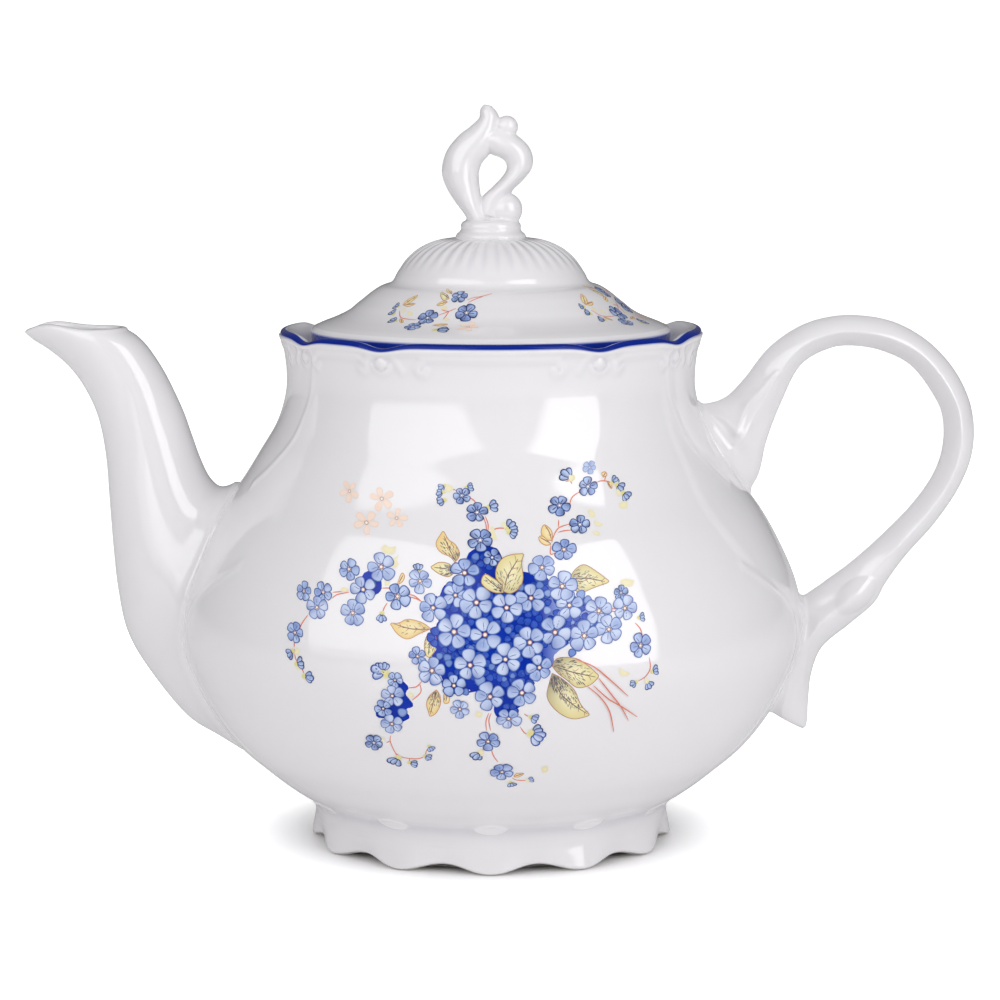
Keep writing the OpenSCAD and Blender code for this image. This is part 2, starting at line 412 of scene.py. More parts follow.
def add_paint(mesh, tint=None, pool_and_shade=None):
    """The colour under the glaze and a mask of pooled glaze with painted shade, for each point of the mesh.
    """
    count = len(mesh.vertices)
    rgba = np.ones((count, 4), np.float32)
    rgba[:, :3] = WHITE if tint is None else tint
    colour = mesh.attributes.new("tint", "FLOAT_COLOR", "POINT")
    colour.data.foreach_set("color", rgba.ravel())
    depth = mesh.attributes.new("pool_and_shade", "FLOAT", "POINT")
    depth.data.foreach_set("value", np.broadcast_to(0 if pool_and_shade is None else pool_and_shade, count).astype(np.float32))


def make_outside(piece):
    """Turns every face of a closed mesh outwards."""
    bm = bmesh.new()
    bm.from_mesh(piece.data)
    bmesh.ops.recalc_face_normals(bm, faces=bm.faces)
    bm.to_mesh(piece.data)
    bm.free()


def aim_faces(piece, normals):
    """Turns each face to the side of the surface's normal and shades it with the surface's own normals."""
    mesh = piece.data
    bm = bmesh.new()
    bm.from_mesh(mesh)
    bm.faces.ensure_lookup_table()
    wrong = [f for f in bm.faces if f.normal.dot(Vector(normals[f.verts[0].index])) < 0]
    bmesh.ops.reverse_faces(bm, faces=wrong)
    bm.to_mesh(mesh)
    bm.free()
    mesh.normals_split_custom_set_from_vertices(normals.tolist())


def srgb(text):
    """Linear colour from a hex sRGB one."""
    c = np.array([int(text[i:i + 2], 16) / 255 for i in (0, 2, 4)])
    return np.where(c <= 0.04045, c / 12.92, ((c + 0.055) / 1.055) ** 2.4)


WHITE = np.array([0.872, 0.86, 0.872])

# ---------------------------------------------------------------- materials


def glaze(name, waviness=1.0, ior=1.52):
    """Clear glaze on cool white porcelain; the paint under it and a mask of pooled glaze with painted shade
    come from the mesh.
    """
    material, tree, bsdf = new_material(name, {"IOR": ior})
    tinted = {"data_type": "RGBA", "blend_type": "MULTIPLY"}
    paint = add_node(tree, "ShaderNodeAttribute", attribute_name="tint")
    depth = add_node(tree, "ShaderNodeAttribute", attribute_name="pool_and_shade")
    place = add_node(tree, "ShaderNodeTexCoord")
    # This mix turns the paint grey-blue where the mask is high: glaze pooling, with painted shade in hollows.
    pooled_and_shaded = add_node(tree, "ShaderNodeMix", {}, **tinted)
    pooled_and_shaded.inputs["B"].default_value = (0.84, 0.84, 0.88, 1)
    mottle = add_node(tree, "ShaderNodeTexNoise", {"Scale": 35, "Detail": 3})
    mottling = add_node(tree, "ShaderNodeMix", {}, **tinted)
    mottling.inputs["B"].default_value = (0.97, 0.968, 0.975, 1)
    wave = add_node(tree, "ShaderNodeTexNoise", {"Scale": 55, "Detail": 1})
    peel = add_node(tree, "ShaderNodeTexNoise", {"Scale": 520, "Detail": 2})
    skin = add_node(tree, "ShaderNodeBump", {"Strength": 0.35 * waviness, "Distance": 0.00008})
    fine = add_node(tree, "ShaderNodeBump", {"Strength": 0.25 * waviness, "Distance": 0.000004})
    gloss = add_node(tree, "ShaderNodeMapRange", {"To Min": 0.05, "To Max": 0.1})
    wire(
        tree,
        (paint, "Color", pooled_and_shaded, "A"),
        (depth, "Fac", pooled_and_shaded, "Factor"),
        (place, "Object", mottle, "Vector"),
        (mottle, "Fac", mottling, "Factor"),
        (pooled_and_shaded, "Result", mottling, "A"),
        (mottling, "Result", bsdf, "Base Color"),
        (place, "Object", wave, "Vector"),
        (place, "Object", peel, "Vector"),
        (wave, "Fac", skin, "Height"),
        (peel, "Fac", fine, "Height"),
        (skin, "Normal", fine, "Normal"),
        (fine, "Normal", bsdf, "Normal"),
        (mottle, "Fac", gloss, "Value"),
        (gloss, "Result", bsdf, "Roughness"),
    )
    return material


def bare_clay(name):
    """Unglazed, finely ground porcelain."""
    material, tree, bsdf = new_material(name, {"Roughness": 0.7})
    place = add_node(tree, "ShaderNodeTexCoord")
    grain = add_node(tree, "ShaderNodeTexNoise", {"Scale": 1800, "Detail": 4})
    ramp = add_node(tree, "ShaderNodeValToRGB")
    ramp.color_ramp.elements[0].color = (0.72, 0.7, 0.66, 1)
    ramp.color_ramp.elements[1].color = (0.86, 0.84, 0.8, 1)
    bump = add_node(tree, "ShaderNodeBump", {"Strength": 0.4, "Distance": 0.00004})
    wire(
        tree,
        (place, "Object", grain, "Vector"),
        (grain, "Fac", ramp, "Fac"),
        (ramp, "Color", bsdf, "Base Color"),
        (grain, "Fac", bump, "Height"),
        (bump, "Normal", bsdf, "Normal"),
    )
    return material


pot_glaze = glaze("pot_glaze")
lid_glaze = glaze("lid_glaze")
print_glaze = glaze("print_glaze", 0.6, 1.28)
cobalt_glaze = glaze("cobalt_glaze", 0.6, 1.22)
foot_clay = bare_clay("foot_clay")


def finish_piece(piece, material, body, slot, *nodes):
    """Gives a piece its material and its body, and hides the CAD nodes that it stands for; slot is not used.
    """
    piece.data.materials.append(material)
    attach(piece, body)
    if nodes:
        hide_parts(*nodes)
    return piece


# ---------------------------------------------------------------- the pot's surface

outline = spaced(curve(body_outline, 12), 0.25)
outline_normal = outward(outline)


def body_radius(z):
    return np.interp(z, outline[:, 1], outline[:, 0])


def body_normal(theta, z):
    """The outward normal of the plain pot at an angle and a height."""
    nr = np.interp(z, outline[:, 1], outline_normal[:, 0])
    nz = np.interp(z, outline[:, 1], outline_normal[:, 1])
    return on_ring(nr, theta, nz)


def body_distance(points):
    """How far points are outside the plain pot, and the pot's normal next to each."""
    flat = points.reshape(-1, 3)
    r, z = np.hypot(flat[:, 0], flat[:, 1]), flat[:, 2]
    nearest = np.empty(len(flat), int)
    for start in range(0, len(flat), 4000):
        part = slice(start, start + 4000)
        gaps = (r[part, None] - outline[None, :, 0]) ** 2 + (z[part, None] - outline[None, :, 1]) ** 2
        nearest[part] = gaps.argmin(1)
    n = outline_normal[nearest]
    distance = (r - outline[nearest, 0]) * n[:, 0] + (z - outline[nearest, 1]) * n[:, 1]
    theta = np.arctan2(flat[:, 0], -flat[:, 1])
    return distance.reshape(points.shape[:-1]), on_ring(n[:, 0], theta, n[:, 1]).reshape(points.shape)


def grid_normals(points):
    """Normals of a grid of points; rows run along a piece and columns round it."""
    along = np.gradient(points, axis=0)
    around = np.roll(points, -1, axis=1) - np.roll(points, 1, axis=1)
    n = np.cross(around, along)
    length = np.linalg.norm(n, axis=2, keepdims=True)
    return n / np.maximum(length, 1e-9)


def smooth_min(a, b, k):
    return np.minimum(a, b) - np.maximum(k - np.abs(a - b), 0) ** 2 / (4 * k)


def blend_root(points, k):
    """Flares a loft where it meets the pot, as slip does between two clay pieces; k is the fillet's reach."""
    normals = grid_normals(points)
    middle = points.mean(axis=1, keepdims=True)
    if (normals * (points - middle)).sum() < 0:
        normals = -normals
    gap, pot_normal = body_distance(points)
    slope = (normals * pot_normal).sum(-1)
    low, high = np.zeros_like(gap), np.full_like(gap, k)
    for _ in range(24):
        t = (low + high) / 2
        inside = smooth_min(t, np.maximum(gap, 0) + slope * t, k) < 0
        low = np.where(inside, t, low)
        high = np.where(inside, high, t)
    reach = (low + high) / 2
    reach *= np.clip(1 + gap / (1.5 * k), 0, 1)
    return points + normals * reach[..., None]


def ridge(theta, z, path, height, width):
    """A rounded ridge along a path of [degrees, height], as an offset for each point."""
    radius = body_radius(z)
    near = np.full(np.broadcast(theta, z).shape, 1e9)
    path = np.array(path, float)
    for (a0, z0), (a1, z1) in zip(path[:-1], path[1:]):
        du = (theta - math.radians(a0)) * radius
        dv = z - z0
        eu = math.radians(a1 - a0) * radius
        ev = z1 - z0
        t = np.clip((du * eu + dv * ev) / (eu**2 + ev**2), 0, 1)
        near = np.minimum(near, (du - t * eu) ** 2 + (dv - t * ev) ** 2)
    return height * np.exp(-near / width**2)


DIPS = [-150, -120, -60, -30, 30, 60, 120, 150]
rim_dip = 1.6


def dip_depth(theta):
    """How far the rim dips, for each angle."""
    total = np.zeros_like(theta)
    for dip in DIPS:
        away = (np.degrees(theta) - dip + 180) % 360 - 180
        total += rim_dip * np.exp(-((away * math.radians(1) * 55 / 5.5) ** 2))
    return total - 0.5 * np.maximum(np.sin(theta), 0) ** 4


def garland(theta, z):
    """Beads, leaves and scrolls in low relief under the rim."""
    total = 0.35 * np.exp(-(((z - 134.2) / 1.2) ** 2)) * np.ones_like(theta)
    degrees_per_mm = math.degrees(1 / garland_r)
    lobes = list(zip(DIPS, DIPS[1:] + [DIPS[0] + 360]))
    for low, high in lobes:
        middle, half = (low + high) / 2, (high - low) / 2
        flat = 0.6 * half - 3
        local = (theta - math.radians(middle) + math.pi) % (2 * math.pi) - math.pi
        hook = [[flat, 132.2], [flat + 2.5, 131.7], [flat + 4.4, 130.2], [flat + 4, 128.8],
                [flat + 2.6, 128.5], [flat + 2, 129.6]]
        line = [[-a, h] for a, h in hook[::-1]] + hook
        total += ridge(local, z, curve(line, 3), 0.32, 1.0)
    for dip in DIPS:
        local = (theta - math.radians(dip) + math.pi) % (2 * math.pi) - math.pi
        bead = np.hypot(local * garland_r, z - bead_z)
        total += 0.75 * np.sqrt(np.clip(1 - (bead / 1.8) ** 2, 0, 1))
        cup = [[2.5 * math.cos(a) * degrees_per_mm, bead_z + 2.5 * math.sin(a)]
               for a in np.radians(np.linspace(195, 345, 9))]
        total += ridge(local, z, cup, 0.26, 0.8)
        for side in (-1, 1):
            leaf = [[side * 3.4 * degrees_per_mm, 132.8], [side * 4.6 * degrees_per_mm, 131],
                    [side * 5.6 * degrees_per_mm, 129.2]]
            total += ridge(local, z, leaf, 0.32, 1.0)
    return total


# Arrises that frame the spout's root and the handle's root: [degrees from the front, height]
upper_arris = [[56, 130], [58, 122], [60.5, 114], [62, 108], [66, 102], [71, 97.5]]
lower_arris = [
    [56, 79], [63, 73], [69.5, 67], [72, 61.5], [71.5, 55], [70.5, 48.5], [69, 41.5], [67, 34.5],
    [64, 29],
]


def arrises(theta, z):
    """Fine raised edges, mirrored to both sides and to the back."""
    total = np.zeros(np.broadcast(theta, z).shape)
    for mirrored in (np.abs(theta), np.pi - np.abs(theta)):
        for path in (upper_arris, lower_arris):
            total += ridge(mirrored, z, curve(path, 4), 0.26, 1.1)
    return total


def pot_relief(theta, z):
    """The whole relief of the pot's outside, for a row of angles and a column of heights."""
    theta, z = np.broadcast_arrays(theta, z)
    total = np.zeros(z.shape)
    top = z[:, 0] > 126
    total[top] = garland(theta[top], z[top])
    side = (z[:, 0] > 22) & (z[:, 0] < 134)
    fade = np.clip((134 - z[side, :1]) / 4, 0, 1)
    total[side] += arrises(theta[side], z[side]) * fade
    return total


def rim_profile():
    """The rounded rim from the outside to the ledge's corner: [radius, height]."""
    return curve([[55.4, 134.6], [55.2, 135.5], [54.5, 136], [53.6, 136.05], [52.6, 135.7], [51.6, 134.7],
                  [50.8, 133.2], [50.4, 131.6]], 4)[1:]


def make_pot():
    """The thrown and moulded pot: outside with relief, rolled rim, ledge for the lid and plain inside."""
    columns = pot_columns
    theta = round_angles(columns)
    low = spaced(curve(body_outline, 12), 0.9)
    low = low[low[:, 1] < 124]
    high = spaced(outline[outline[:, 1] >= 124], 0.45)
    outside = np.vstack([np.array([[9, floor_z], [18, floor_z], [27, floor_z]]), low, high])
    rim = rim_profile()
    ledge = np.array([
        [50.4, 131.2], [50.0, seat_z], [46, seat_z], [42.6, seat_z], [mouth_r, seat_z - 0.6],
        [mouth_r, seat_z - ledge_t + 0.6], [mouth_r + 0.6, seat_z - ledge_t],
    ])
    wall_in = outline - outline_normal * wall
    neck_z = seat_z - ledge_t - (well_r - mouth_r)
    wall_in = spaced(wall_in[(wall_in[:, 1] > floor_top_z + 1.5) & (wall_in[:, 1] < neck_z)], 2.0)[::-1]
    corner = wall_in[-1][0]
    floor = np.array([[corner - 3, floor_top_z + 0.3]] + [[r, floor_top_z] for r in (corner - 8, 30, 20, 10)])
    profile = np.vstack([outside, rim, ledge, wall_in, floor])
    relief = np.zeros((len(profile), columns))
    count = len(outside)
    relief[:count] = pot_relief(theta, outside[:, 1:2])
    normal = outward(profile)
    r = profile[:, :1] + normal[:, :1] * relief
    z = profile[:, 1:] + normal[:, 1:] * relief
    lift = np.clip((profile[:, 1] - 130) / 6, 0, 1) ** 1.5
    lift[count + len(rim):] = 0
    z = z - lift[:, None] * dip_depth(theta)
    points = on_ring(r, theta, z)
    poles = [[0, 0, floor_z], [0, 0, floor_top_z]]
    # Grey-blue in the relief's hollows, from how sharply the relief curves in: glaze pooling there, with
    # painted shade.
    pool_and_shade = np.zeros(relief.shape)
    across = np.gradient(np.gradient(relief, axis=1), axis=1)
    along = np.gradient(np.gradient(relief, axis=0), axis=0)
    pool_and_shade[:count] = np.clip((across + along)[:count] * 3, 0, 1)
    piece = capped_piece("pot_shell", points, poles, pool_and_shade)
    drill_strainer(piece)
    finish_piece(piece, pot_glaze, "pot", "pot_glaze", "pot_body")
    near = (profile[:, 1] > 133.6) & (profile[:, 0] > 53.7)
    lower = np.clip((profile[near, 1] - 134.7) / 0.3, 0, 1)
    upper = np.clip((profile[near, 0] - 53.8) / 0.5, 0, 1)
    cobalt_band("rim_line", points[near], lower * upper, "pot")


def cobalt_band(name, points, strength, body):
    """A painted cobalt line just above a closed strip of the surface, softer where its strength is low."""
    rows, columns = points.shape[:2]
    normals = grid_normals(points)
    edge, core = srgb("3f5fc8"), srgb("06268c")
    tint = []
    for share in strength:
        full = max(2 * share - 1, 0)
        line = edge * (1 - full) + core * full
        soft = min(2 * share, 1)
        tint += [WHITE * (1 - soft) + line * soft] * columns
    lifted = points + normals * line_lift
    piece = make_piece(name, lifted.reshape(-1, 3), grid_faces(rows, columns), tint=np.array(tint))
    aim_faces(piece, normals.reshape(-1, 3))
    return finish_piece(piece, cobalt_glaze, body, "cobalt_line")


def drill_strainer(pot):
    """Real holes through the wall behind the spout, in a staggered pattern."""
    points, faces = [], []
    sides = 32
    angle = full_turn(sides)
    for column in range(-2, 3):
        rows = 3 - abs(column) % 2
        for row in range(rows):
            y = column * hole_pitch * 0.87
            z = strainer_z + (row - (rows - 1) / 2) * hole_pitch
            first = len(points)
            for x in (-90, -60):
                points += [[x, y + hole_d / 2 * math.cos(a), z + hole_d / 2 * math.sin(a)] for a in angle]
            faces += [tuple(first + i for i in face) for face in rod_faces(sides)]
    cutter = make_piece("strainer_cutter", points, faces)
    make_outside(cutter)
    cut(pot, cutter)


def cut(piece, cutter):
    """Takes the cutter's volume out of the piece."""
    modifier = piece.modifiers.new("cut", "BOOLEAN")
    modifier.operation = "DIFFERENCE"
    modifier.solver = "MANIFOLD"
    modifier.object = cutter
    bpy.context.view_layer.update()
    evaluated = piece.evaluated_get(bpy.context.evaluated_depsgraph_get())
    mesh = bpy.data.meshes.new_from_object(evaluated)
    mesh.materials.clear()
    piece.modifiers.clear()
    piece.data = mesh
    bpy.data.objects.remove(cutter)


# ---------------------------------------------------------------- the foot

LOBES = 12


def make_foot():
    """The scalloped foot ring: a lobed plan that rises between its lobes and swells over each one, with
    painted shade in its cove and a painted highlight on each swell.
    """
    columns = pot_columns
    theta = round_angles(columns)
    valley = (1 - np.cos(LOBES * theta)) / 2
    walls = curve([[48, 1.0], [47.5, 4], [47, 7], [47.2, 9.4], [48.2, 11.4], [50.4, 13.15],
                   [53.4, 15.05], [56.6, 17.4], [58.5, 19.4]], 9)
    under = np.array([[40.2, 0.5], [40.8, 0.15], [42, 0], [44, 0], [46.2, 0], [47.2, 0.12], [47.8, 0.5]])
    inside = np.array([[39, 9.5], [39.8, 8.6], [40, 7], [40, 4], [40, 1.2]])
    closing = np.array([[57, 19.8], [50, 15.5], [44, 12], [39, 10.2]])
    profile = np.vstack([inside, under, walls, closing])
    low = np.clip(1 - profile[:, 1:] / 9, 0, 1)
    outer = np.clip((profile[:, :1] - 40.5) / 7, 0, 1)
    r = profile[:, :1] - 2.1 * valley * low**1.2 * outer
    arch = np.clip(1 - profile[:, 1:] / 7, 0, 1) ** 0.8
    z = profile[:, 1:] + 2.2 * valley * arch * np.clip(outer * 3, 0, 1)
    away = (theta * LOBES / (2 * np.pi) + 0.5) % 1 - 0.5
    oval = (away * 2 * np.pi / LOBES * 50 / 4.6) ** 2 + ((profile[:, 1:] - 12.6) / 1.9) ** 2
    swell = np.clip((1.15 - oval) / 0.5, 0, 1)
    swell = swell * swell * (3 - 2 * swell)
    on_wall = np.zeros((len(profile), 1))
    start = len(inside) + len(under)
    on_wall[start:start + len(walls)] = 1
    normal = outward(profile)
    offset = 0.35 * swell * on_wall
    r = r + normal[:, :1] * offset
    z = z + normal[:, 1:] * offset
    points = on_ring(r, theta, z)
    rows = len(profile)
    faces = grid_faces(rows, columns)
    first, stop = len(inside), len(inside) + len(under) - 1
    del faces[first * columns:stop * columns]
    faces += joined_ends(rows, columns)
    sole_points = points[first:stop + 1].reshape(-1, 3)
    sole = make_piece("foot_sole", sole_points, grid_faces(len(under), columns))
    aim_faces(sole, np.broadcast_to((0.0, 0.0, -1.0), (len(under) * columns, 3)))
    finish_piece(sole, foot_clay, "pot", "bare_porcelain")
    # Painted shade in the cove about 12 mm up, left off the swells.
    pool_and_shade = 0.5 * np.exp(-(((profile[:, 1:] - 12) / 2) ** 2)) * on_wall * (1 - swell)
    # Painted highlight: the paint under the glaze is made paler on each swell.
    pale = (swell * on_wall)[..., None]
    tint = WHITE + (1 - WHITE) * 0.45 * pale
    piece = make_piece("foot", points.reshape(-1, 3), faces, tint.reshape(-1, 3), pool_and_shade.ravel())
    make_outside(piece)
    return finish_piece(piece, pot_glaze, "pot", "pot_glaze", "foot_ring")


# ---------------------------------------------------------------- lofts


def section_ring(section, angles, nose=0.0, power=2.0):
    """Points round one section, from its inner or back edge; power under 2 sharpens its four corners."""
    x0, z0, x1, z1, half = section
    c, s = np.cos(angles), np.sin(angles)
    if power != 2.0:
        c = np.sign(c) * np.abs(c) ** (2 / power)
        s = np.sign(s) * np.abs(s) ** (2 / power)
    width = half * s * (1 + nose * c)
    return np.stack([(x0 + x1) / 2 + (x1 - x0) / 2 * c, width, (z0 + z1) / 2 + (z1 - z0) / 2 * c], -1)


def even_sections(sections, step):
    """The sections at even steps along the middle of the loft."""
    fine = curve(sections, 24)
    middle = np.stack([(fine[:, 0] + fine[:, 2]) / 2, (fine[:, 1] + fine[:, 3]) / 2], -1)
    along = np.concatenate([[0], np.cumsum(np.linalg.norm(np.diff(middle, axis=0), axis=1))])
    at = np.linspace(0, along[-1], int(along[-1] / step) + 1)
    return np.stack([np.interp(at, along, fine[:, k]) for k in range(5)], -1)


def closed_loft(name, points):
    """A closed piece over a grid of rings, with a flat fan to the middle of both end rings."""
    return capped_piece(name, points, [points[0].mean(0), points[-1].mean(0)])


def make_spout():
    """The spout: a hollow loft from a wide root to a poured lip."""
    columns = 112
    angles = full_turn(columns)
    sections = even_sections(spout_sections, 0.7)
    count = len(sections)
    nose = spout_nose * (np.arange(count) / (count - 1)) ** 4
    outer = np.stack([section_ring(s, angles, n) for s, n in zip(sections, nose)])
    outer = blend_root(outer, 5.5)
    inner = []
    for s, n in zip(sections[::3], nose[::3]):
        a, b = np.array([s[0], s[1]]), np.array([s[2], s[3]])
        u = (b - a) / np.linalg.norm(b - a) * spout_wall * 0.8
        inner.append(section_ring([*(a + u), *(b - u), s[4] - spout_wall * 0.8], angles, n))
    inner = np.stack(inner)[::-1]
    lip = []
    a, b = outer[-1], inner[0]
    for t in (0.12, 0.3, 0.5, 0.7, 0.88):
        rise = math.sin(math.pi * t) * 0.9
        lip.append(a + (b - a) * (1 - math.cos(math.pi * t)) / 2 + np.array([0, 0, rise]))
    rings = np.concatenate([outer, np.stack(lip), inner])
    x, y = rings[..., 0], rings[..., 1]
    near_top = np.clip((rings[..., 2] - 122) / 12, 0, 1) ** 2
    rings[..., 2] += 1.5 * near_top * np.exp(-(((x + 115.5) / 6.5) ** 2)) * np.clip(np.abs(y) / 4, 0, 1)
    rings = rings[::-1].copy()
    rows = rings.shape[0]
    faces = grid_faces(rows, columns) + joined_ends(rows, columns)
    piece = make_piece("spout_shell", rings.reshape(-1, 3), faces)
    make_outside(piece)
    return finish_piece(piece, pot_glaze, "pot", "pot_glaze", "spout")


def path_gap(x, z, path):
    """How far places lie from a path in the side view."""
    near = np.full(np.broadcast(x, z).shape, 1e9)
    line = curve(path, 4)
    for (x0, z0), (x1, z1) in zip(line[:-1], line[1:]):
        ex, ez = x1 - x0, z1 - z0
        t = np.clip(((x - x0) * ex + (z - z0) * ez) / (ex**2 + ez**2), 0, 1)
        near = np.minimum(near, (x - x0 - t * ex) ** 2 + (z - z0 - t * ez) ** 2)
    return np.sqrt(near)


def oval_gap(x, z, place, tilt, long, short):
    """How far places lie from the middle of a tilted oval: 1 on its edge."""
    c, s = math.cos(math.radians(tilt)), math.sin(math.radians(tilt))
    along = (x - place[0]) * c + (z - place[1]) * s
    across = (z - place[1]) * c - (x - place[0]) * s
    return np.sqrt((along / long) ** 2 + (across / short) ** 2)


# Raised lines and forms on both flanks of the handle, in the side view
scroll_line = [[55.5, 114.8], [59, 113.6], [61.4, 112.3], [63.2, 110.6], [64.5, 108.8]]
web_line = [[64.5, 108.8], [65.3, 111.4], [66.2, 113.8], [67.6, 116.6], [70.6, 119.9], [75, 124.6]]
tail_line = [[83.6, 67.4], [82, 63.5], [81.2, 58.8], [79.4, 52], [77, 46.2], [74.4, 41.4]]
tail_edge = [[86.6, 58.5], [84.2, 54], [83.2, 49], [83.2, 42]]


def handle_relief(x, z):
    """How far the handle's flanks stand out or sink in."""
    ridges = [(0.55, scroll_line, 0.9), (0.5, web_line, 0.9), (0.9, tail_line, 1.1), (0.4, tail_edge, 1.0)]
    hollows = [
        (1.5, (63.6, 105.4), -52, 7, 2.6), (1.2, (69.6, 110.4), 75, 7.5, 2.6),
        (1.1, (101.6, 72.6), 48, 6, 1.8), (0.7, (88, 62.4), 32, 6, 1.6), (0.8, (79.8, 43), 78, 9, 2.2),
    ]
    total = 1.5 * np.clip(1 - oval_gap(x, z, (96.6, 65.4), 40, 6.4, 4.2) ** 2, 0, 1)
    for height, path, width in ridges:
        total += height * np.exp(-((path_gap(x, z, path) / width) ** 2))
    for depth, *oval in hollows:
        total -= depth * np.exp(-(oval_gap(x, z, *oval) ** 2))
    return total


def make_handle():
    """The looped handle with a ridge along each side, a scrolled web at the top and a leaf-ended tail."""
    columns = 144
    angles = full_turn(columns)
    sections = even_sections(handle_sections, 0.45)
    rings = np.stack([section_ring(s, angles, -0.14, 1.3) for s in sections])
    rings = blend_root(rings, 2.4)
    x, y, z = rings[..., 0], rings[..., 1], rings[..., 2]
    flank = np.clip(np.abs(y) / np.abs(y).max(axis=1, keepdims=True), 0, 1)
    rings[..., 1] = y + np.sign(y) * handle_relief(x, z) * np.clip(flank * 2.2 - 0.15, 0, 1)
    piece = closed_loft("handle_strap", rings)
    return finish_piece(piece, pot_glaze, "pot", "pot_glaze", "handle")


def make_lid():
    """The domed lid cap with a fluted crown, a stepped skirt and a thick edge."""
    theta = round_angles(lid_columns)
    top = spaced(curve(lid_outline, 8), 0.5)
    edge = curve([[46.3, 136.7], [47, 136], [47.2, 134.8], [47.1, 132.8], [46.7, 131.4],
                  [46.2, seat_z]], 4)[1:]
    inset = top + outward(top) * lid_t
    under = spaced(inset[inset[:, 0] < flange_r - 3.4], 1.5)[::-1]
    seat = np.array([[43, seat_z], [flange_r - 2, seat_z], [flange_r - 3, seat_z + 0.5]])
    profile = np.vstack([np.array([[3, knob_base_z], [6, knob_base_z]]), top, edge, seat, under,
                         np.array([[5, knob_base_z - lid_t], [2, knob_base_z - lid_t]])])
    upper = np.arange(len(profile)) < len(top) + 2
    flute = np.cos(flutes * theta)
    r, z = profile[:, :1], profile[:, 1:]
    band = np.clip((z - 151.5) / 4, 0, 1) * np.clip((159.6 - z) / 0.8, 0, 1)
    normal = -outward(profile)
    offset = 0.13 * (np.abs(flute) ** 0.7 * np.sign(flute)) * band * upper[:, None]
    points = on_ring(r + normal[:, :1] * offset, theta, z + normal[:, 1:] * offset)
    poles = [[0, 0, knob_base_z], [0, 0, knob_base_z - lid_t]]
    # Grey-blue in the crown's flute grooves: glaze pooling, with painted shade there.
    pool_and_shade = np.clip(-flute * band * upper[:, None], 0, 1) * 0.5
    piece = capped_piece("lid_cap", points, poles, pool_and_shade)
    drill_vent(piece)
    finish_piece(piece, lid_glaze, "lid", "lid_glaze", "lid_shell")
    start, stop = 1 + len(top), 2 + len(top) + len(edge) - 3
    strength = np.clip((135.6 - profile[start:stop, 1]) / 0.5, 0, 1)
    cobalt_band("lid_line", points[start:stop][::-1], strength[::-1], "lid")


def drill_vent(lid):
    """The steam hole behind the knob."""
    sides = 32
    r = vent_d / 2
    points = [[r * math.cos(a), 15 + r * math.sin(a), z] for z in (148, 165) for a in full_turn(sides)]
    cutter = make_piece("vent_cutter", points, rod_faces(sides))
    make_outside(cutter)
    cut(lid, cutter)


def make_knob():
    """The open scroll knob: two crossing strands, two beads and a collar, run together by the glaze."""
    angles = full_turn(48)
    parts = []
    for sections in (knob_left, knob_right):
        rings = np.stack([section_ring(s, angles, 0, 1.8) for s in even_sections(sections, 0.4)])
        parts.append(closed_loft("strand", rings))
    for x, z, radius in knob_beads:
        lat = np.linspace(0.05, np.pi - 0.05, 28)[:, None]
        rings = np.stack([x + radius * np.sin(lat) * np.cos(angles), radius * np.sin(lat) * np.sin(angles),
                          z + radius * np.cos(lat) + 0 * angles], -1)
        parts.append(closed_loft("bead", rings))
    collar = np.array([[9.3, knob_base_z - 0.2], [9.3, 160.1], [8.9, 160.8], [8.2, 161.3], [7.8, 161.9],
                       [7.9, 162.5], [7.9, 163.1], [7.4, 163.9], [6, 164.5], [3, 164.7]])
    parts.append(closed_loft("collar", on_ring(collar[:, :1], round_angles(96), collar[:, 1:])))
    bm = bmesh.new()
    for part in parts:
        bm.from_mesh(part.data)
        bpy.data.objects.remove(part)
    mesh = bpy.data.meshes.new("knob")
    bm.to_mesh(mesh)
    bm.free()
    piece = bpy.data.objects.new("knob", mesh)
    bpy.context.scene.collection.objects.link(piece)
    fuse = piece.modifiers.new("fuse", "REMESH")
    fuse.mode = "VOXEL"
    fuse.voxel_size = 0.28 * MM
    soften = piece.modifiers.new("soften", "SMOOTH")
    soften.factor = 0.5
    soften.iterations = 5
    bpy.context.view_layer.update()
    mesh = bpy.data.meshes.new_from_object(piece.evaluated_get(bpy.context.evaluated_depsgraph_get()))
    piece.modifiers.clear()
    piece.data = mesh
    mesh.shade_smooth()
    for name in ("tint", "pool_and_shade"):
        if name in mesh.attributes:
            mesh.attributes.remove(mesh.attributes[name])
    add_paint(mesh)
    return finish_piece(piece, lid_glaze, "lid", "lid_glaze", "lid_knob")


def finish_flange():
    """The CAD flange keeps its shape and takes the lid's glaze."""
    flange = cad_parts["lid_flange"]
    add_paint(flange.data)
    flange.data.materials.clear()
    flange.data.materials.append(lid_glaze)


make_pot()
make_foot()
make_spout()
make_handle()
make_lid()
make_knob()
finish_flange()

# ---------------------------------------------------------------- the printed flowers

PETAL = {
    "pale": ("d3def5", "93abdd", "2c4fa6"),
    "mid": ("c2d3f3", "7391d2", "173788"),
    "dark": ("bed1f2", "5479c6", "051a66"),
    "navy": ("b2c7ee", "4468bc", "020f4a"),
    "under": ("3a60c8", "1a44ae", "04208a"),
    "faint": ("c3d0ec", "a6bae4", "6f8bcb"),
    "peach": ("fde9da", "fcdfcb", "fdeee4"),
}
ROYAL = ("0234b4", "011f8c", "9aaee6")
STEM = "e0704c"
LEAF = {
    "olive": ("f6eec2", "e9db98", "8a6034"),
    "gold": ("f8e8b6", "f0d38a", "c47c3c"),
    "ghost": ("f3ecc4", "efe3ae", "efe3ae"),
}


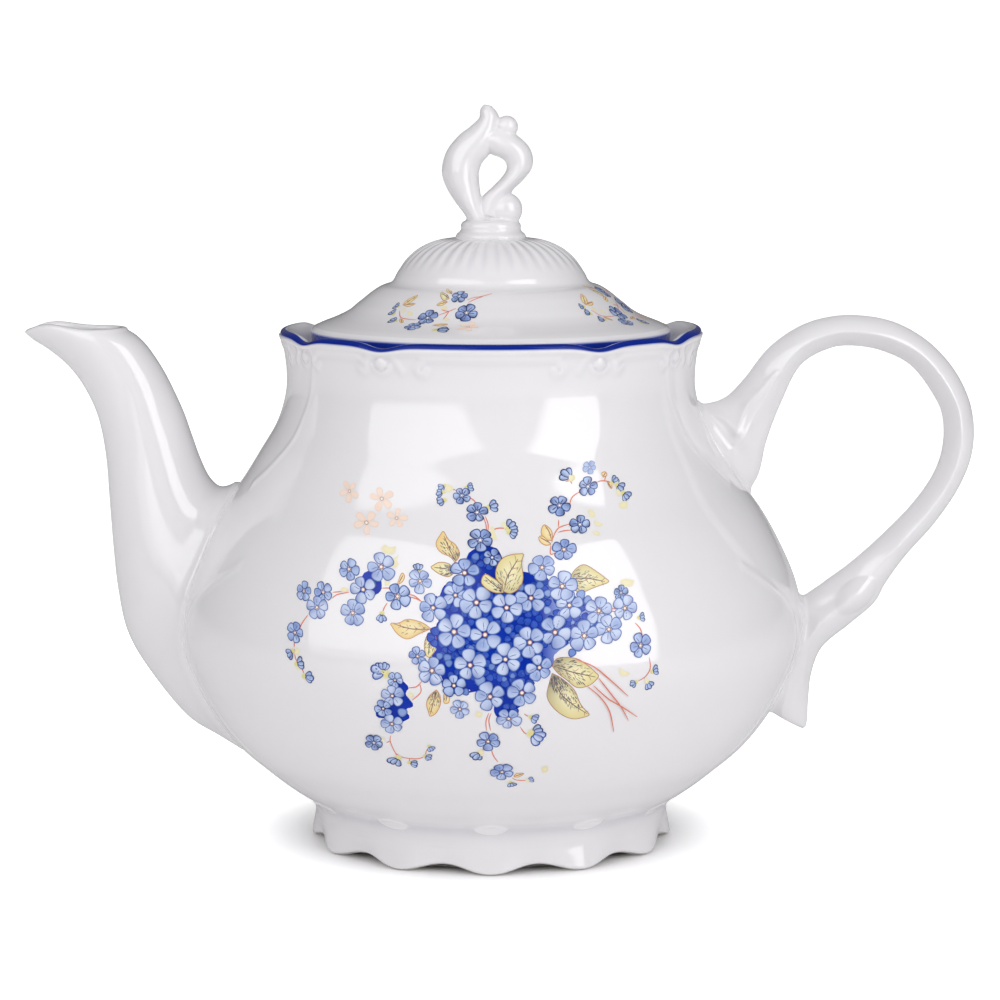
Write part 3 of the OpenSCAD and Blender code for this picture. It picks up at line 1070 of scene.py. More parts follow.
class Print:
    """Thin painted shapes laid on a surface; place(points) gives the surface points and their normals."""

    def __init__(self, name, place, lift):
        self.name, self.place, self.lift = name, place, lift
        self.points, self.colours, self.heights, self.faces = [], [], [], []

    def add(self, points, colours, faces, raise_by=0.0):
        """More painted points with their colours, and faces numbered from the first of them."""
        first = len(self.points)
        self.points += [tuple(p) for p in points]
        self.colours += [tuple(c) for c in colours]
        self.heights += [self.lift + raise_by] * len(points)
        self.faces += [tuple(first + i for i in face) for face in faces]

    def blob(self, ring, shades, raise_by=0.0, middle=None, shadow=None):
        """A filled outline; shades are (how far from the middle, colour), from the middle outwards.

        shadow is (direction, colour, strength) of a shade that grows towards one side.
        """
        ring = np.asarray(ring, float)
        middle = ring.mean(0) if middle is None else np.asarray(middle, float)
        n = len(ring)
        points, colours, faces = [middle], [shades[0][1]], []
        if shadow:
            side = (ring - middle) @ np.asarray(shadow[0])
            weight = (np.clip(0.5 + 0.5 * side / np.abs(side).max(), 0, 1) ** 1.8 * shadow[2])[:, None]
        for share, colour in shades[1:]:
            points += list(middle + (ring - middle) * share)
            if shadow:
                part = weight * share
                colours += list(colour * (1 - part) + shadow[1] * part)
            else:
                colours += [colour] * n
        for k in range(n):
            faces.append((0, 1 + k, 1 + (k + 1) % n))
        for level in range(len(shades) - 2):
            a, b = 1 + level * n, 1 + (level + 1) * n
            for k in range(n):
                faces.append((a + k, b + k, b + (k + 1) % n, a + (k + 1) % n))
        self.add(points, colours, faces, raise_by)

    def stroke(self, path, width, colour, raise_by=0.0, taper=True):
        """A brush line along a smooth path, thinner at its ends."""
        line = spaced(curve(path, 8), 0.35)
        d = np.gradient(line, axis=0)
        length = np.maximum(np.linalg.norm(d, axis=1, keepdims=True), 1e-9)
        side = np.stack([-d[:, 1], d[:, 0]], -1) / length
        t = np.linspace(0, 1, len(line))[:, None]
        half = width / 2 * (0.35 + 0.65 * np.sin(np.pi * t) ** 0.5 if taper else 1 + 0 * t)
        points = np.concatenate([line - side * half, line, line + side * half])
        n = len(line)
        faces = []
        for row in (0, n):
            faces += [(row + i, row + i + 1, row + n + i + 1, row + n + i) for i in range(n - 1)]
        edge = 0.75 * colour + 0.25 * WHITE
        self.add(points, [edge] * n + [colour] * n + [edge] * n, faces, raise_by)

    def make(self, body, slot):
        """The finished piece, laid on its surface."""
        on, normals = self.place(np.array(self.points))
        lifted = on + normals * np.array(self.heights)[:, None]
        piece = make_piece(self.name, lifted, self.faces, tint=np.array(self.colours))
        aim_faces(piece, normals)
        return finish_piece(piece, print_glaze, body, slot)


def on_pot(seen):
    """Points of the pot at a distance right of the middle and a height, as seen from the front."""
    x, z = seen[:, 0], seen[:, 1]
    theta = np.arcsin(np.clip(x / body_radius(z), -0.999, 0.999))
    return on_ring(body_radius(z), theta, z), body_normal(theta, z)


def pot_shape(x, z, local):
    """Local points drawn flat on the pot's surface round a place, given as seen from the front."""
    turn = math.sqrt(max(1 - (x / body_radius(z)) ** 2, 0.05))
    rise = float(np.interp(z, outline[:, 1], outline_normal[:, 0]))
    return np.array([x, z]) + np.asarray(local) * np.array([turn, rise])


lid_skirt = spaced(curve(lid_outline, 12), 0.25)
lid_skirt_normal = -outward(lid_skirt)


def on_lid(turn):
    """Puts points of [along the edge, up the skirt] on the lid, turned to one of its sides."""

    def place(flat):
        theta = math.radians(turn) + flat[:, 0] / skirt_r
        radius = lid_r - skirt_run * flat[:, 1]
        z = np.interp(radius, lid_skirt[:, 0], lid_skirt[:, 1])
        nr = np.interp(radius, lid_skirt[:, 0], lid_skirt_normal[:, 0])
        nz = np.interp(radius, lid_skirt[:, 0], lid_skirt_normal[:, 1])
        return on_ring(radius, theta, z), on_ring(nr, theta, nz)

    return place


def flat_shape(x, z, local):
    """Local points round a place on a sheet that is already measured along the surface."""
    return np.array([x, z]) + np.asarray(local)


def petal_ring(radius, turn, spread=0.42, length=0.43, count=20):
    """The outline of one petal that points along turn, as local points round the flower's middle."""
    a = full_turn(count)
    along = radius * (0.57 + length * np.cos(a) * (1 - 0.06 * np.cos(2 * a)))
    across = radius * spread * np.sin(a) * (1 + 0.3 * np.cos(a))
    c, s = math.cos(turn), math.sin(turn)
    return np.stack([along * c - across * s, along * s + across * c], -1)


def flower(sheet, shape, x, z, radius, turn, tone, dice, order):
    """Five petals with a darker edge, a shaded throat, a stroke or two, and a small pink-white eye."""
    light, deep, edge = (srgb(c) for c in PETAL[tone])
    height = layer * order
    for k in dice.sample(range(5), 5):
        angle = math.radians(turn + 72 * k + dice.uniform(-7, 7))
        size = radius * dice.uniform(0.96, 1.15)
        strong = tone in ("dark", "navy")
        tilt = dice.random() ** (1.1 if strong else 1.6)
        wash = tilt * (0.6 if strong else 0.85)
        inner = light * (1 - wash) + deep * wash
        face = light * (1 - 0.6 * wash) + deep * 0.6 * wash
        ring = petal_ring(size, angle, dice.uniform(0.36, 0.43) - 0.14 * (tone == "peach"))
        soft = deep if tone == "peach" else edge * 0.75 + deep * 0.25
        rim = 0.9 if tone == "pale" else 0.86
        near_rim = 0.6 * face + 0.4 * deep
        shades = [(0, inner), (0.4, inner), (0.66, face), (rim - 0.05, near_rim), (rim, soft), (1.0, soft)]
        height += 0.0003
        lean = angle + dice.choice((-1, 1)) * math.radians(dice.uniform(50, 120))
        depth = dice.uniform(0.8, 1) if strong else dice.uniform(0.35, 0.75)
        shadow = None if tone == "peach" else ((math.cos(lean), math.sin(lean)), edge, depth)
        sheet.blob(shape(x, z, ring), shades, height, None, shadow)
        if tone != "peach" and dice.random() < 0.75:
            bend = dice.uniform(-0.25, 0.25)
            line = [[size * r * math.cos(angle + bend * w), size * r * math.sin(angle + bend * w)]
                    for r, w in ((0.25, 0), (0.45, 0.6), (0.7, 1))]
            dark = edge * 0.75 + deep * 0.25
            sheet.stroke(shape(x, z, line), 0.34 if strong else 0.2, dark, height + 0.0002)
    if tone == "under":
        return
    a = full_turn(12)
    eye = np.stack([np.cos(a), np.sin(a)], -1)
    if tone == "peach":
        rim, core = srgb("c9a08c"), srgb("fff6ee")
    elif tone in ("dark", "navy", "faint"):
        rim, core = srgb("8a93b8"), srgb("f6eef0")
    else:
        rim, core = srgb("9a6a52"), srgb("fdeee6")
    size = radius * 0.17
    sheet.blob(shape(x, z, eye * size), [(0, core), (0.55, core), (0.75, rim), (1, rim)], height + 0.001)


def bud(sheet, shape, x, z, size, turn, tone, dice, order):
    """A closed flower: three narrow petals out of a yellow-green calyx."""
    light, deep, edge = (srgb(c) for c in PETAL[tone])
    height = layer * order
    for k, swing in enumerate((-32, 30, 0)):
        angle = math.radians(turn + swing + dice.uniform(-6, 6))
        ring = petal_ring(size * dice.uniform(0.85, 1.05), angle, 0.27, 0.47, 14)
        face = light * 0.7 + deep * 0.3
        shades = [(0, face), (0.5, light), (0.74, face), (0.82, edge), (1.0, edge)]
        shadow = ((math.cos(angle + 1.6), math.sin(angle + 1.6)), edge, 0.95)
        sheet.blob(shape(x, z, ring), shades, height + 0.0004 * k, None, shadow)
    a = full_turn(12)
    calyx = np.stack([np.cos(a) * size * 0.32, np.sin(a) * size * 0.3], -1)
    gold, rim = srgb("e6dc94"), srgb("e9e0a8")
    sheet.blob(shape(x, z, calyx), [(0, gold), (0.6, gold), (1, 0.6 * rim + 0.4 * WHITE)], height - 0.001)


def leaf(sheet, points, vein, kind, dice, order, hatch):
    """A leaf from its outline and middle vein, with side veins, an edge line and hatching at its foot."""
    light, deep, line = (srgb(c) for c in LEAF[kind])
    vein = np.asarray(vein, float)
    tip = int(np.argmax(np.linalg.norm(np.asarray(points, float) - vein[0], axis=1)))
    first = curve(points[:tip + 1], 8)
    second = curve(points[tip:] + [points[0]], 8)
    ring = spaced(np.vstack([first, second[1:]]), 0.5)[:-1]
    middle = vein.mean(0)
    height = layer * order
    soft = kind == "ghost"
    rim = 0.35 * deep + 0.65 * WHITE if soft else deep
    root = vein[0] - vein[-1]
    root /= np.linalg.norm(root)
    dusk = (root, srgb("6a6678"), min(0.016 * hatch, 0.75)) if hatch else None
    shades = [(0, light), (0.35, light), (0.7, 0.5 * light + 0.5 * deep), (1, rim)]
    sheet.blob(ring, shades, height, middle, dusk)
    if soft:
        return
    orange, dark = srgb("c8643a"), srgb("3c3844")
    sheet.stroke(list(ring[::2]) + [ring[0]], 0.17, 0.6 * line + 0.4 * orange, height + 0.0006, False)
    sheet.stroke(vein, 0.26, 0.5 * line + 0.5 * dark, height + 0.0007)
    run = spaced(curve(vein, 8), 1.0)
    along = np.gradient(run, axis=0)
    along /= np.linalg.norm(along, axis=1, keepdims=True)
    reach = np.linalg.norm(ring - middle, axis=1).min() * 0.75
    for i in range(1, len(run) - 1, 2):
        for side in (-1, 1):
            across = np.array([-along[i, 1], along[i, 0]]) * side
            end = run[i] + (across * 0.8 + along[i] * 0.75) * reach * (1 - 0.4 * i / len(run))
            mid = (run[i] + end) / 2 + along[i] * 0.1 * reach
            sheet.stroke([run[i], mid, end], 0.14, 0.7 * line + 0.3 * orange, height + 0.0007)
    for _ in range(3 * hatch):
        t = dice.random() ** 1.8
        at = run[0] + (run[-1] - run[0]) * t * 0.8
        across = np.array([-along[0, 1], along[0, 0]]) * dice.uniform(-1, 1) * reach * 1.25
        start = at + across
        tip = start + (along[0] + across * 0.25) * dice.uniform(0.45, 1.0)
        if inside(ring, *start) and inside(ring, *tip):
            sheet.stroke([start, (start + tip) / 2, tip], 0.14, dark, height + 0.0009)


# The bouquet as seen from the front: [right of the middle, height, radius, turn of a petal, tone]
flowers = [
    [-45.9, 76, 2.4, 83, "mid"], [-41, 76.2, 2.7, 45, "mid"], [-42.5, 72.6, 3, 92, "pale"],
    [-48, 66.1, 2.7, 72, "mid"], [-33.5, 72.1, 3.2, 100, "pale"], [-34.6, 82, 2.8, 70, "mid"],
    [-31, 77.6, 3.6, 36, "pale"], [-26.6, 83, 3.8, 36, "pale"], [-22.5, 76.5, 3.2, 40, "mid"],
    [-17, 80.2, 3, 55, "pale"], [-8.4, 77.2, 3.1, 70, "pale"], [-13.8, 74.2, 3.5, 30, "pale"],
    [-6.2, 82.3, 3.8, 85, "mid"], [-3.3, 75.6, 4, 55, "pale"], [-1.2, 68.2, 3.9, 38, "pale"],
    [-8.7, 68.8, 4.1, 74, "pale"], [0.5, 85.8, 2.3, 66, "dark"], [-2.4, 89.7, 3.2, 58, "dark"],
    [-3.2, 95.9, 2.7, 80, "dark"], [-7, 99.7, 2.2, 45, "dark"], [17, 97.2, 2.8, 62, "dark"],
    [24.1, 101.2, 2.6, 88, "dark"], [24.6, 105.6, 1.8, 60, "faint"], [22, 92.7, 2.8, 82, "dark"],
    [18, 87.3, 2.9, 84, "mid"], [12.6, 83.4, 3.3, 50, "pale"], [9.9, 76.5, 3.6, 97, "pale"],
    [4, 74.4, 3.8, 62, "pale"], [19.2, 74.6, 3.6, 92, "pale"], [17.5, 79, 3.8, 84, "pale"],
    [26.4, 73, 3.5, 80, "pale"], [31.9, 76.8, 1.9, 90, "dark"], [32.8, 73.2, 3.2, 70, "pale"],
    [28.8, 68.6, 3.3, 108, "pale"], [22.8, 67.4, 3.8, 88, "pale"], [15.7, 68.5, 3.9, 65, "pale"],
    [36.6, 64.2, 2.9, 40, "mid"], [9.6, 66.3, 3.8, 42, "pale"], [3.7, 62.4, 3.7, 105, "pale"],
    [11.9, 60.3, 3.2, 105, "pale"], [7.7, 54.2, 3.7, 108, "pale"], [0, 53.3, 3.7, 108, "pale"],
    [4.5, 47.5, 3, 50, "pale"], [-0.5, 41.3, 2.9, 50, "mid"], [2.9, 32.6, 2.8, 48, "mid"],
    [-23, 56.8, 1.9, 60, "mid"], [-23.7, 52.8, 2.9, 95, "pale"], [-26, 49.3, 2.3, 115, "mid"],
    [-23.9, 45.3, 2.9, 108, "pale"], [-28.5, 39.7, 2.4, 60, "dark"], [-17.5, 62.8, 2.2, 100, "mid"],
    [-14, 59.5, 3.5, 75, "pale"], [-7.3, 50, 2.5, 45, "pale"], [-8.7, 56, 2.9, 90, "mid"],
    [-4.8, 61, 3.8, 100, "pale"],
]
ghost_flowers = [
    [-26.8, 98.3, 3.3, 30, "peach"], [-30.5, 92.7, 3.6, 60, "peach"], [-23, 94.1, 2.8, 80, "peach"],
    [-35, 99.5, 2.8, 50, "peach"],
]

# Closed flowers and buds: [right, height, size, direction, tone]
buds = [
    [-17.4, 82.4, 2.2, 95, "dark"], [-26.3, 72.4, 2.4, 265, "mid"], [-11.2, 101.9, 1.8, 215, "mid"],
    [-11.6, 100.4, 1.9, 200, "dark"], [-11.2, 98.6, 2.2, 200, "dark"], [-5.8, 101.6, 1.9, 10, "dark"],
    [-0.4, 97, 2.6, 20, "dark"], [4.2, 92.4, 2.8, 40, "dark"], [4.6, 91.5, 2.4, -25, "dark"],
    [20, 103.4, 3.4, 145, "dark"], [30.2, 101.8, 2.2, 40, "dark"], [31.4, 101.2, 2.6, -35, "dark"],
    [32.9, 99.2, 2.6, -40, "dark"], [36.3, 70.8, 1.8, 10, "dark"], [39.6, 57.6, 2, 15, "dark"],
    [35.6, 55.4, 1.9, 205, "dark"], [38.4, 55.2, 2.2, -60, "dark"], [9.8, 47.8, 2.2, -20, "mid"],
    [10.1, 43.8, 2.9, 15, "dark"], [10, 43.2, 3.8, -35, "pale"], [9.2, 29.8, 1.9, 20, "mid"],
    [5, 29.4, 2, -65, "dark"], [-2.4, 38.2, 2.8, 235, "dark"], [-25.4, 58.2, 3.9, 165, "pale"],
    [-25.8, 58.8, 2.4, 85, "mid"], [-22.6, 35.8, 3.3, 235, "dark"], [-19.8, 34.6, 2.2, -10, "dark"],
    [-16, 36.8, 2, -30, "dark"], [-14.9, 39.6, 1.9, -55, "mid"], [-48.6, 61.6, 2.3, 225, "dark"],
    [-47.6, 58.6, 2.6, 15, "dark"], [-45.6, 55.8, 2.8, -2, "mid"],
]

# Single petals that show between the whole flowers: [right, height, radius, turn, tone]
petals = [
    [-12.2, 63, 2, 90, "mid"], [-10.3, 62.6, 2.4, 80, "mid"], [-4.6, 65, 1.8, 60, "mid"],
    [2.6, 65.2, 1.8, 110, "mid"], [0.4, 60.6, 2, 80, "mid"], [3.4, 57.6, 1.6, 60, "mid"],
    [5.4, 58.4, 1.6, 30, "mid"], [-10, 61.4, 2.2, 330, "mid"], [4.4, 69.2, 2.2, 100, "mid"],
    [6.6, 67.6, 2, 250, "mid"], [-2.4, 57.4, 3.2, 200, "pale"], [12, 79.4, 2.4, 40, "mid"],
    [14, 77.6, 2.2, 230, "pale"], [13.8, 73.6, 2.2, 60, "faint"], [22, 77, 2.8, 350, "pale"],
    [23.8, 75.6, 2.6, 150, "pale"], [17.4, 72.8, 2.4, 250, "faint"], [-21.4, 48.6, 3, 320, "pale"],
    [-28.6, 79, 2.4, 260, "dark"], [-9.8, 79.4, 2.2, 150, "mid"], [-3.6, 86, 2.4, 10, "mid"],
    [7.4, 79, 2.4, 130, "mid"], [24.6, 70.6, 2.2, 200, "faint"], [19.8, 63.6, 2.4, 300, "mid"],
    [-6, 54.4, 2.2, 10, "mid"],
]

# Royal blue between the flowers: outlines as seen from the front
patches = [
    [[-12.6, 76.6], [-10.6, 79.8], [-7.2, 81.4], [-5.4, 86.6], [-2.2, 88.2], [0.6, 88.3], [2.6, 86.8],
     [3.4, 83], [7.4, 82.6], [9.6, 82.4], [12.4, 80.6], [15.6, 79.4], [19.6, 77.6], [22.4, 75.2],
     [25.4, 72.6], [28.6, 71.2], [26.4, 69], [22.6, 70], [19.6, 66], [17, 64.4], [15.6, 63.2],
     [15, 60.8], [12.2, 58.4], [9.6, 57.6], [9.4, 54], [7.4, 50.8], [4.6, 48.4], [2.2, 47.6], [1, 49.4],
     [0.8, 52], [-1.2, 54.4], [-5, 54.2], [-8, 53.6], [-11.6, 55.6], [-11.6, 58], [-13.4, 60.6],
     [-14.2, 62.4], [-13, 65], [-13.6, 68.6], [-12.2, 71.8], [-13, 74.2]],
    [[-32.4, 79.6], [-30, 81.8], [-27.6, 81.6], [-26.4, 79.4], [-26.6, 77.6], [-29.4, 76],
     [-32.4, 75.2], [-33, 74.4], [-32, 77.4]],
    [[-23.4, 56.8], [-20.8, 56.4], [-19.6, 54.9], [-20.6, 53.4], [-19.2, 51.9], [-18.6, 50.2],
     [-20.4, 49.4], [-19.6, 47.2], [-21.6, 46], [-24.6, 46.6], [-27.8, 46.8], [-27.2, 50.4],
     [-24.8, 51.6], [-23.6, 53.6]],
    [[-43, 76.2], [-41.2, 76], [-40.4, 75], [-41.4, 73.8], [-42.8, 74.8]],
    [[15.2, 97.4], [17, 96.8], [17.2, 95.6], [15.8, 95.6], [14.8, 96.4]],
]

# Stems: paths as seen from the front
stems = [
    [[-38.8, 75], [-37.4, 76], [-34.4, 76.8]], [[-38.6, 76.4], [-36.4, 76.8], [-34.6, 77.2]],
    [[-26.4, 78.2], [-24.6, 78.3], [-22.8, 77.9]], [[-20.2, 77.1], [-18.4, 76.8], [-16.4, 75.4]],
    [[-19.8, 76.6], [-18, 76.2], [-16.8, 75.6]], [[-25, 75], [-25.8, 73.6], [-26.2, 72.4]],
    [[-44.8, 70.6], [-46.2, 68.6], [-47.2, 66.4]], [[-48.2, 64.2], [-48.2, 62.6]],
    [[-48.1, 62.2], [-47.9, 60], [-46.6, 58.2], [-45.4, 55.8]],
    [[-1.2, 95], [-0.5, 93.2], [-0.6, 91.4]], [[-1.6, 94.8], [-1, 93], [-0.9, 90.8]],
    [[-0.6, 91], [1.2, 92.2], [3, 92.4], [4.6, 92]], [[-5.2, 99.3], [-4.2, 98.8], [-3.3, 97.9]],
    [[-10.2, 101.4], [-8.4, 100.9]], [[19.4, 96.8], [20.2, 99], [22.4, 100.3]],
    [[25.8, 101.9], [27.6, 102.4], [29.6, 102], [30.6, 101.2]],
    [[28.3, 102.4], [28.6, 103.4], [28.1, 104.1]], [[20.2, 102], [19.6, 102.8], [18.6, 102.6]],
    [[15, 88.9], [15.5, 90.4], [16.8, 92.2], [19.6, 93]], [[16.8, 94], [16.7, 92.4]],
    [[16.6, 91.2], [18, 91.5], [19.8, 91.6]], [[14.8, 88.4], [14.7, 86.4], [16, 86.7]],
    [[28.7, 73.5], [30.6, 73.2]], [[28.8, 72.9], [30.6, 72.6]],
    [[35.3, 69.7], [36.6, 68.2], [37.2, 66.2]], [[38.8, 61.2], [39.1, 58.6], [38, 56.6], [35.9, 55.5]],
    [[-0.3, 49], [-1, 46.8], [-0.9, 44.2]], [[0.3, 49], [-0.3, 47], [0.1, 44.2]],
    [[0.3, 39], [0.8, 37.2], [1.9, 35.4]], [[5.3, 30.8], [6.5, 30], [9.4, 29.7]],
    [[8.2, 48.7], [9.2, 48], [10, 48]], [[7.3, 45.2], [8.5, 43.4], [10.2, 43.4]],
    [[-16.5, 56.8], [-17.8, 55.4], [-19.8, 55]], [[-17, 56.2], [-16.8, 54], [-19, 51.8]],
    [[-24.3, 42], [-24.5, 40.4], [-23.6, 37.8], [-22.6, 36]], [[-24.6, 40.4], [-25.4, 39.9]],
    [[-23.4, 37.2], [-21.4, 36], [-18.2, 35.8], [-16.2, 36.6], [-15.6, 38.2], [-14.9, 39.4]],
    [[-19.8, 35.8], [-19.8, 34.6]],
]
loose_stems = [
    [[20.6, 62], [25, 60], [29.2, 56.4], [33.6, 52]],
    [[26.2, 57.2], [29, 53.4], [31.8, 49.4], [33.8, 45.4]],
    [[25, 55.4], [28.6, 51.8], [32, 49.4], [36, 46.2]],
    [[23.4, 55.4], [26.6, 52.4], [29, 48.4], [30.2, 42.6]],
]

# Leaves: [outline, middle vein from the foot, kind, number of hatch strokes]
leaves = [
    [[[-8.6, 84.6], [-9.6, 85.8], [-12.2, 87], [-13.2, 89], [-11.4, 91.8], [-10.2, 89.8], [-8.4, 88.6],
      [-7.4, 86.4]],
     [[-8.4, 85], [-9.8, 87.4], [-11.3, 90.6]], "gold", 26],
    [[[-8.6, 82.6], [-9.8, 84.2], [-12.4, 84.6], [-14.5, 83.4], [-12.4, 82], [-10, 81.4]],
     [[-8.9, 82.9], [-11, 83.2], [-13.6, 83.4]], "olive", 18],
    [[[-14.3, 69.4], [-16.6, 70.8], [-20, 71.4], [-22.2, 70.4], [-24.3, 70.4], [-22.6, 68], [-20, 66.8],
      [-17, 68.2]],
     [[-14.6, 69.3], [-19, 69.2], [-23.4, 70.2]], "gold", 12],
    [[[-13.4, 68.8], [-15.2, 67.8], [-15.9, 65.4], [-15.4, 63], [-14.6, 62.6], [-13.4, 64.2],
      [-13, 66.6]],
     [[-13.8, 68.4], [-14.6, 65.8], [-14.9, 63.2]], "olive", 22],
    [[[19.4, 80.8], [20.8, 82.8], [23, 83.7], [26, 82], [29.3, 79.5], [25.4, 78.4], [22, 77.4],
      [20.2, 78.6]],
     [[19.8, 80.6], [23.6, 80.6], [28, 79.6]], "olive", 26],
    [[[15, 60.6], [16.4, 62.4], [20.6, 62.2], [23.6, 60.4], [26.5, 57.6], [24.4, 55.6], [21.2, 55],
      [18.6, 57], [16.4, 58.8]],
     [[15.4, 60.6], [19.6, 59], [25.6, 57.4]], "olive", 44],
    [[[15, 58.8], [14.2, 56], [13.8, 53], [15.4, 50], [18.2, 47.6], [21, 46.8], [24.4, 47.6],
      [22, 50.6], [20.4, 54.4], [17.4, 57.4]],
     [[15.2, 58.2], [17.6, 53], [23.6, 48]], "olive", 90],
    [[[-13, 54.8], [-14.8, 53], [-15.4, 50.8], [-14.6, 47.8], [-13.2, 48.6], [-12, 51.2], [-12.2, 53.6]],
     [[-13.1, 54.4], [-13.8, 51.4], [-14.5, 48.4]], "gold", 20],
    [[[-10.2, 54.8], [-11.2, 53.6], [-11.2, 51.4], [-10, 51.6], [-9.8, 53.4]],
     [[-10.3, 54.4], [-10.7, 51.8]], "gold", 4],
    [[[15.2, 89.4], [15, 91.6], [13.2, 93.2], [12.4, 91.4], [13.4, 89.8]],
     [[15, 89.6], [14.4, 91.4], [13.4, 92.8]], "gold", 0],
    [[[14.8, 88.6], [13, 90.4], [11.8, 90.4], [12.2, 89.2], [13.6, 88.4]], [[14.8, 88.8], [12.2, 90.2]],
     "gold", 0],
    [[[29, 102.2], [29.4, 101], [30.2, 100.2], [30.1, 101.4]], [[29.1, 102], [30, 100.6]], "gold", 0],
    [[[28, 103.2], [27.6, 104.2], [28.6, 104.4], [29, 103.6]], [[28, 103.4], [28.6, 104.2]], "gold", 0],
    [[[5.8, 31], [6.4, 32], [8.4, 32], [7.2, 31]], [[6, 31.2], [8, 31.9]], "gold", 0],
    [[[-25.8, 88.2], [-26.8, 87.2], [-25.6, 86], [-23.4, 86.2], [-23, 88], [-24.6, 87.6]],
     [[-25, 86], [-24.6, 88]], "ghost", 0],
    [[[-24.2, 84.6], [-22.2, 86.2], [-22.8, 84.8], [-22.2, 83.6], [-23.8, 82.8]],
     [[-24, 84], [-22.6, 85]], "ghost", 0],
    [[[-22.6, 79.2], [-21.6, 81.8], [-20.8, 81.6], [-21.2, 80]], [[-22.2, 79.6], [-21.2, 81.4]], "gold",
     0],
    [[[-25.6, 78.8], [-25.8, 80.6], [-24.4, 80.2], [-24.6, 79]], [[-25, 79], [-25.2, 80.2]], "ghost", 0],
    [[[-36.8, 76.8], [-36.2, 77.8], [-34.6, 77.6], [-35, 76.8]], [[-36.4, 77], [-34.8, 77.4]], "ghost",
     0],
    [[[-47.8, 62.6], [-48.2, 60.8], [-47, 61], [-46.8, 62.2]], [[-47.8, 62.2], [-47.2, 61.2]], "ghost",
     0],
    [[[-47.8, 59.2], [-47.6, 57], [-46.4, 57.6], [-46.6, 59]], [[-47.4, 59], [-47, 57.4]], "ghost", 0],
    [[[-45.8, 56], [-45, 54.2], [-44.2, 54.6], [-44.8, 56]], [[-45.4, 55.8], [-44.6, 54.8]], "ghost", 0],
    [[[-10.8, 102.4], [-11, 100.4], [-9.6, 100.6], [-9, 101.6]], [[-10.4, 100.8], [-9.6, 101.6]],
     "ghost", 0],
    [[[0, 92.8], [0.8, 92.6], [1.8, 89.8], [0.2, 90]], [[0.4, 92.4], [0.8, 90.2]], "ghost", 0],
    [[[2.8, 93.8], [3.8, 93.6], [4, 92.4], [3, 92.6]], [[3, 93.4], [3.6, 92.6]], "ghost", 0],
    [[[19.4, 104.2], [20.6, 103.8], [20.2, 102.8], [19.4, 103]], [[19.6, 104], [20, 103]], "ghost", 0],
    [[[31.2, 100.2], [31.4, 98.6], [32.4, 98.8], [32, 100]], [[31.4, 100], [32, 99]], "ghost", 0],
    [[[31.8, 97], [32, 95.8], [34, 95.6], [34, 97.2], [33, 97.4]], [[32, 96.6], [33.8, 96.4]], "ghost",
     0],
    [[[24, 96], [24.6, 94.2], [26, 94.2], [25.4, 95.8]], [[24.4, 95.6], [25.4, 94.6]], "ghost", 0],
    [[[25.4, 93.6], [27.8, 92.6], [27.2, 92], [25.8, 92.4]], [[25.8, 93], [27.4, 92.4]], "ghost", 0],
    [[[25, 91.2], [26.6, 91], [27, 90], [25.4, 90.4]], [[25.4, 91], [26.6, 90.4]], "ghost", 0],
    [[[31.6, 79.6], [33, 80], [35.4, 79.4], [34.6, 78], [32.4, 78.4]], [[32, 79.4], [34.6, 78.8]],
     "ghost", 0],
    [[[31.4, 59.4], [32.4, 58.4], [34.2, 57.8], [33.6, 57], [31.6, 57.4]], [[31.8, 59], [33.6, 57.6]],
     "ghost", 0],
    [[[37.8, 56.2], [38.8, 55.8], [38.6, 54.6], [37.6, 55]], [[38, 56], [38.4, 55]], "ghost", 0],
    [[[12.6, 33.8], [14, 34], [14.4, 32.6], [13.2, 31.8], [12.6, 32.6]], [[13, 33.4], [14, 32.6]],
     "ghost", 0],
    [[[8.6, 30.2], [9.6, 30.2], [9.6, 29.2], [8.8, 29.2]], [[8.8, 30], [9.4, 29.4]], "ghost", 0],
    [[[-2.8, 38.8], [-1.6, 38.8], [-1.6, 37], [-2.6, 37.6]], [[-2.6, 38.6], [-1.8, 37.4]], "ghost", 0],
    [[[-26.8, 41.4], [-25.8, 41.4], [-26, 40.2], [-26.8, 40.6]], [[-26.6, 41], [-26.2, 40.6]], "ghost",
     0],
    [[[-19.6, 54], [-18.6, 53.8], [-18.6, 52.6], [-19.8, 52.4]], [[-19.4, 53.6], [-19, 52.8]], "ghost",
     0],
    [[[-3.4, 49.4], [-1.8, 49], [-2.2, 47.8], [-3.4, 48]], [[-3, 49], [-2.2, 48.2]], "ghost", 0],
]


front_leaves = [
    [[[3.4, 78], [1.6, 80.6], [1.4, 83], [2.8, 85.4], [5.4, 86.4], [8.3, 86.5], [7.6, 84.6], [8, 81],
      [7, 78.8], [5, 77.6]],
     [[3.5, 78.4], [4.2, 81.4], [6.8, 85.4]], "olive", 20],
    [[[3.2, 77.8], [2.8, 79.6], [1.2, 80.8], [-1.2, 82.2], [-2.2, 80.4], [-1, 78.8], [1.2, 77.8]],
     [[3, 78.2], [1, 79.6], [-1.2, 81.4]], "olive", 14],
]


